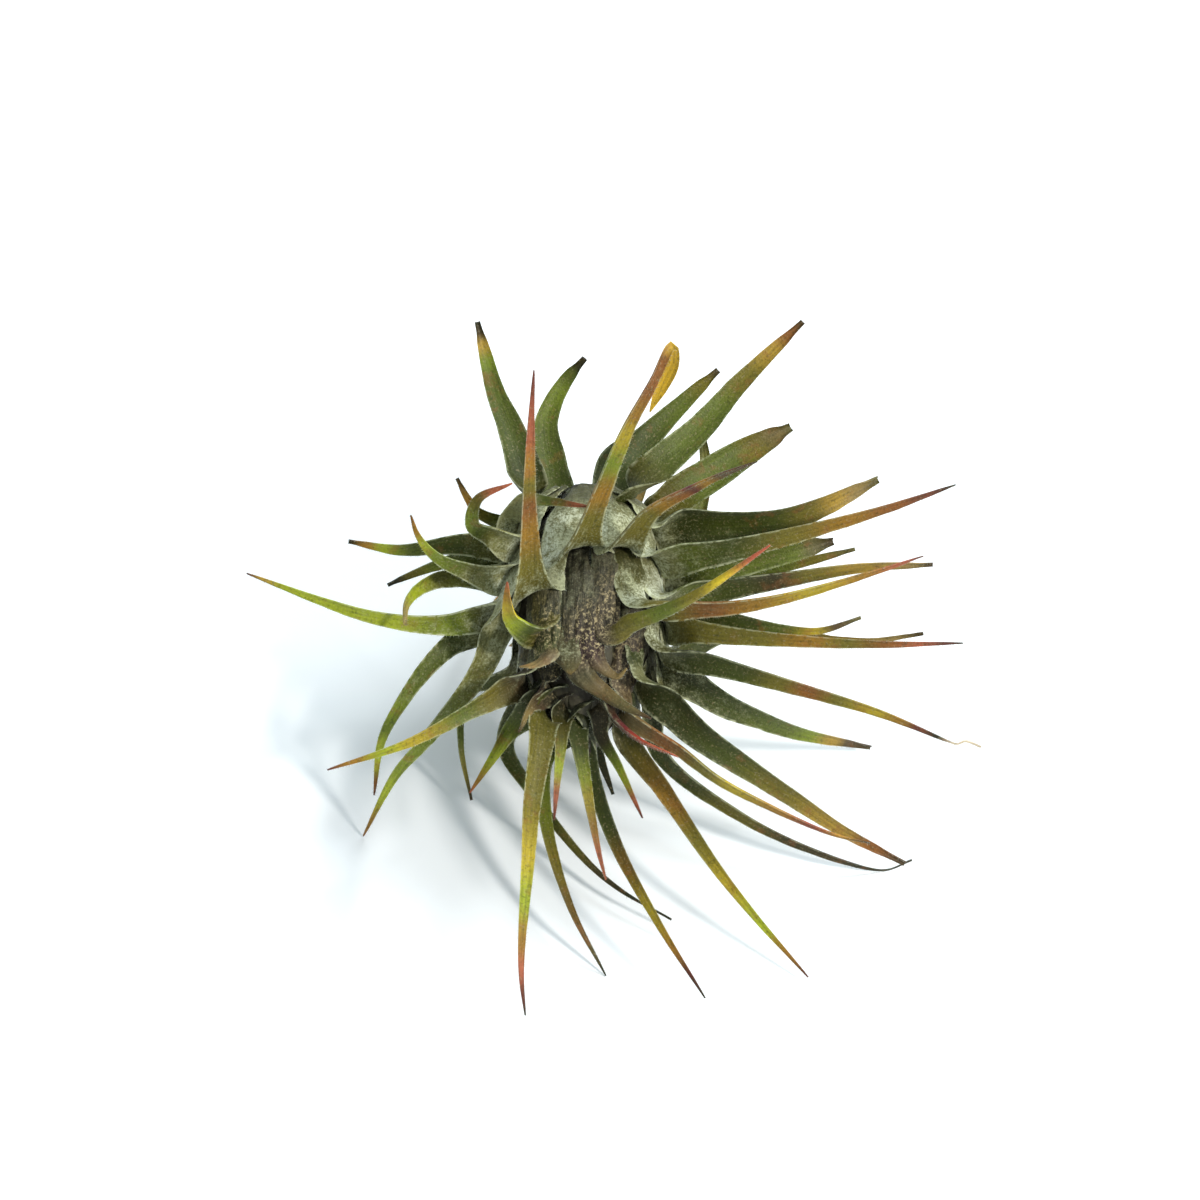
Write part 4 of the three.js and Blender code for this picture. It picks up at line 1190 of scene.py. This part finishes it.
def heart_body(material):
    """The short stem inside the bulb, as a lobed body."""
    first_count, first_winding, second_count, second_winding = LOBES
    verts = []
    for i in range(HEART_ROWS + 1):
        along = lerp(HEART[0][0], HEART[-1][0], i / HEART_ROWS)
        for k in range(HEART_AROUND):
            turn = 2 * math.pi * k / HEART_AROUND
            lobes = (math.cos(first_count * turn + along * first_winding)
                     * math.cos(second_count * turn - along * second_winding))
            radius = radius_of(HEART, along) * (1 + LOBE_DEPTH * lobes)
            out = RIGHT * math.sin(turn) + EYE_SIDE * math.cos(turn)
            verts.append((MIDDLE + AHEAD * along + out * radius) * MM)
    faces = []
    for i in range(HEART_ROWS):
        for k in range(HEART_AROUND):
            a, b = i * HEART_AROUND + k, i * HEART_AROUND + (k + 1) % HEART_AROUND
            faces.append((a, b, b + HEART_AROUND, a + HEART_AROUND))
    mesh = bpy.data.meshes.new("heart_body")
    mesh.from_pydata(verts, [], faces)
    close_poles(mesh)
    mesh.materials.append(material)
    mesh.shade_smooth()
    return mesh


def close_poles(mesh):
    """Merges doubled points at the poles, and turns the faces outwards."""
    work = bmesh.new()
    work.from_mesh(mesh)
    bmesh.ops.remove_doubles(work, verts=work.verts, dist=1e-6)
    bmesh.ops.recalc_face_normals(work, faces=work.faces)
    work.to_mesh(mesh)
    work.free()


def add_heart(material):
    body = link("plant_heart", heart_body(material))
    profile = line_mesh("heart_profile", [
        (a * MM, (radius_of(HEART, a) - BRACT_DEPTH) * MM, 0)
        for a in range(BRACTS_FROM, BRACTS_TO + 1)])
    bracts = grown("plant_heart_bracts", profile, *bract_tree(), {
        "Count": BRACTS, "Length": BRACT_LENGTH * MM, "Width": BRACT_WIDTH * MM,
        "Seed": BRACT_SEED, "Skin": material})
    for piece in (body, bracts):
        settle(piece, "heart", "heart")


# ---------------------------------------------------------------- light and table

def add_light(name, place, size, power, colour):
    data = bpy.data.lights.new(name, "AREA")
    data.size = size
    data.energy = power
    data.color = colour
    light = bpy.data.objects.new(name, data)
    light.location = place
    aim(light, MIDDLE * MM)
    bpy.context.scene.collection.objects.link(light)


def add_lights():
    world = bpy.data.worlds.new("room")
    world.use_nodes = True
    background = world.node_tree.nodes["Background"]
    background.inputs["Color"].default_value = (0.84, 0.95, 1.0, 1)
    background.inputs["Strength"].default_value = 0.66
    bpy.context.scene.world = world
    bpy.context.scene.view_settings.view_transform = "Standard"
    add_light("window", Vector((0.6, -0.38, 0.62)), 0.11, 6.6, (1.0, 0.97, 0.92))
    add_light("fill", Vector((0.42, 0.36, 0.8)), 0.26, 4.9, (0.9, 0.97, 1.0))


def add_table():
    mesh = bpy.data.meshes.new("table")
    corners = [(-1, -1), (1, -1), (1, 1), (-1, 1)]
    mesh.from_pydata([(x * TABLE_HALF, y * TABLE_HALF, 0) for x, y in corners], [],
                     [(0, 1, 2, 3)])
    mesh.materials.append(table_material())
    link("table", mesh)


add_camera()
add_lights()
add_table()
skin, fuzz = skin_material(), fuzz_material()
tree, ids = leaf_tree()
for number, (name, row) in enumerate(LEAVES.items()):
    add_leaf(name, row, number + 1, tree, ids, skin, fuzz)
add_heart(heart_material())
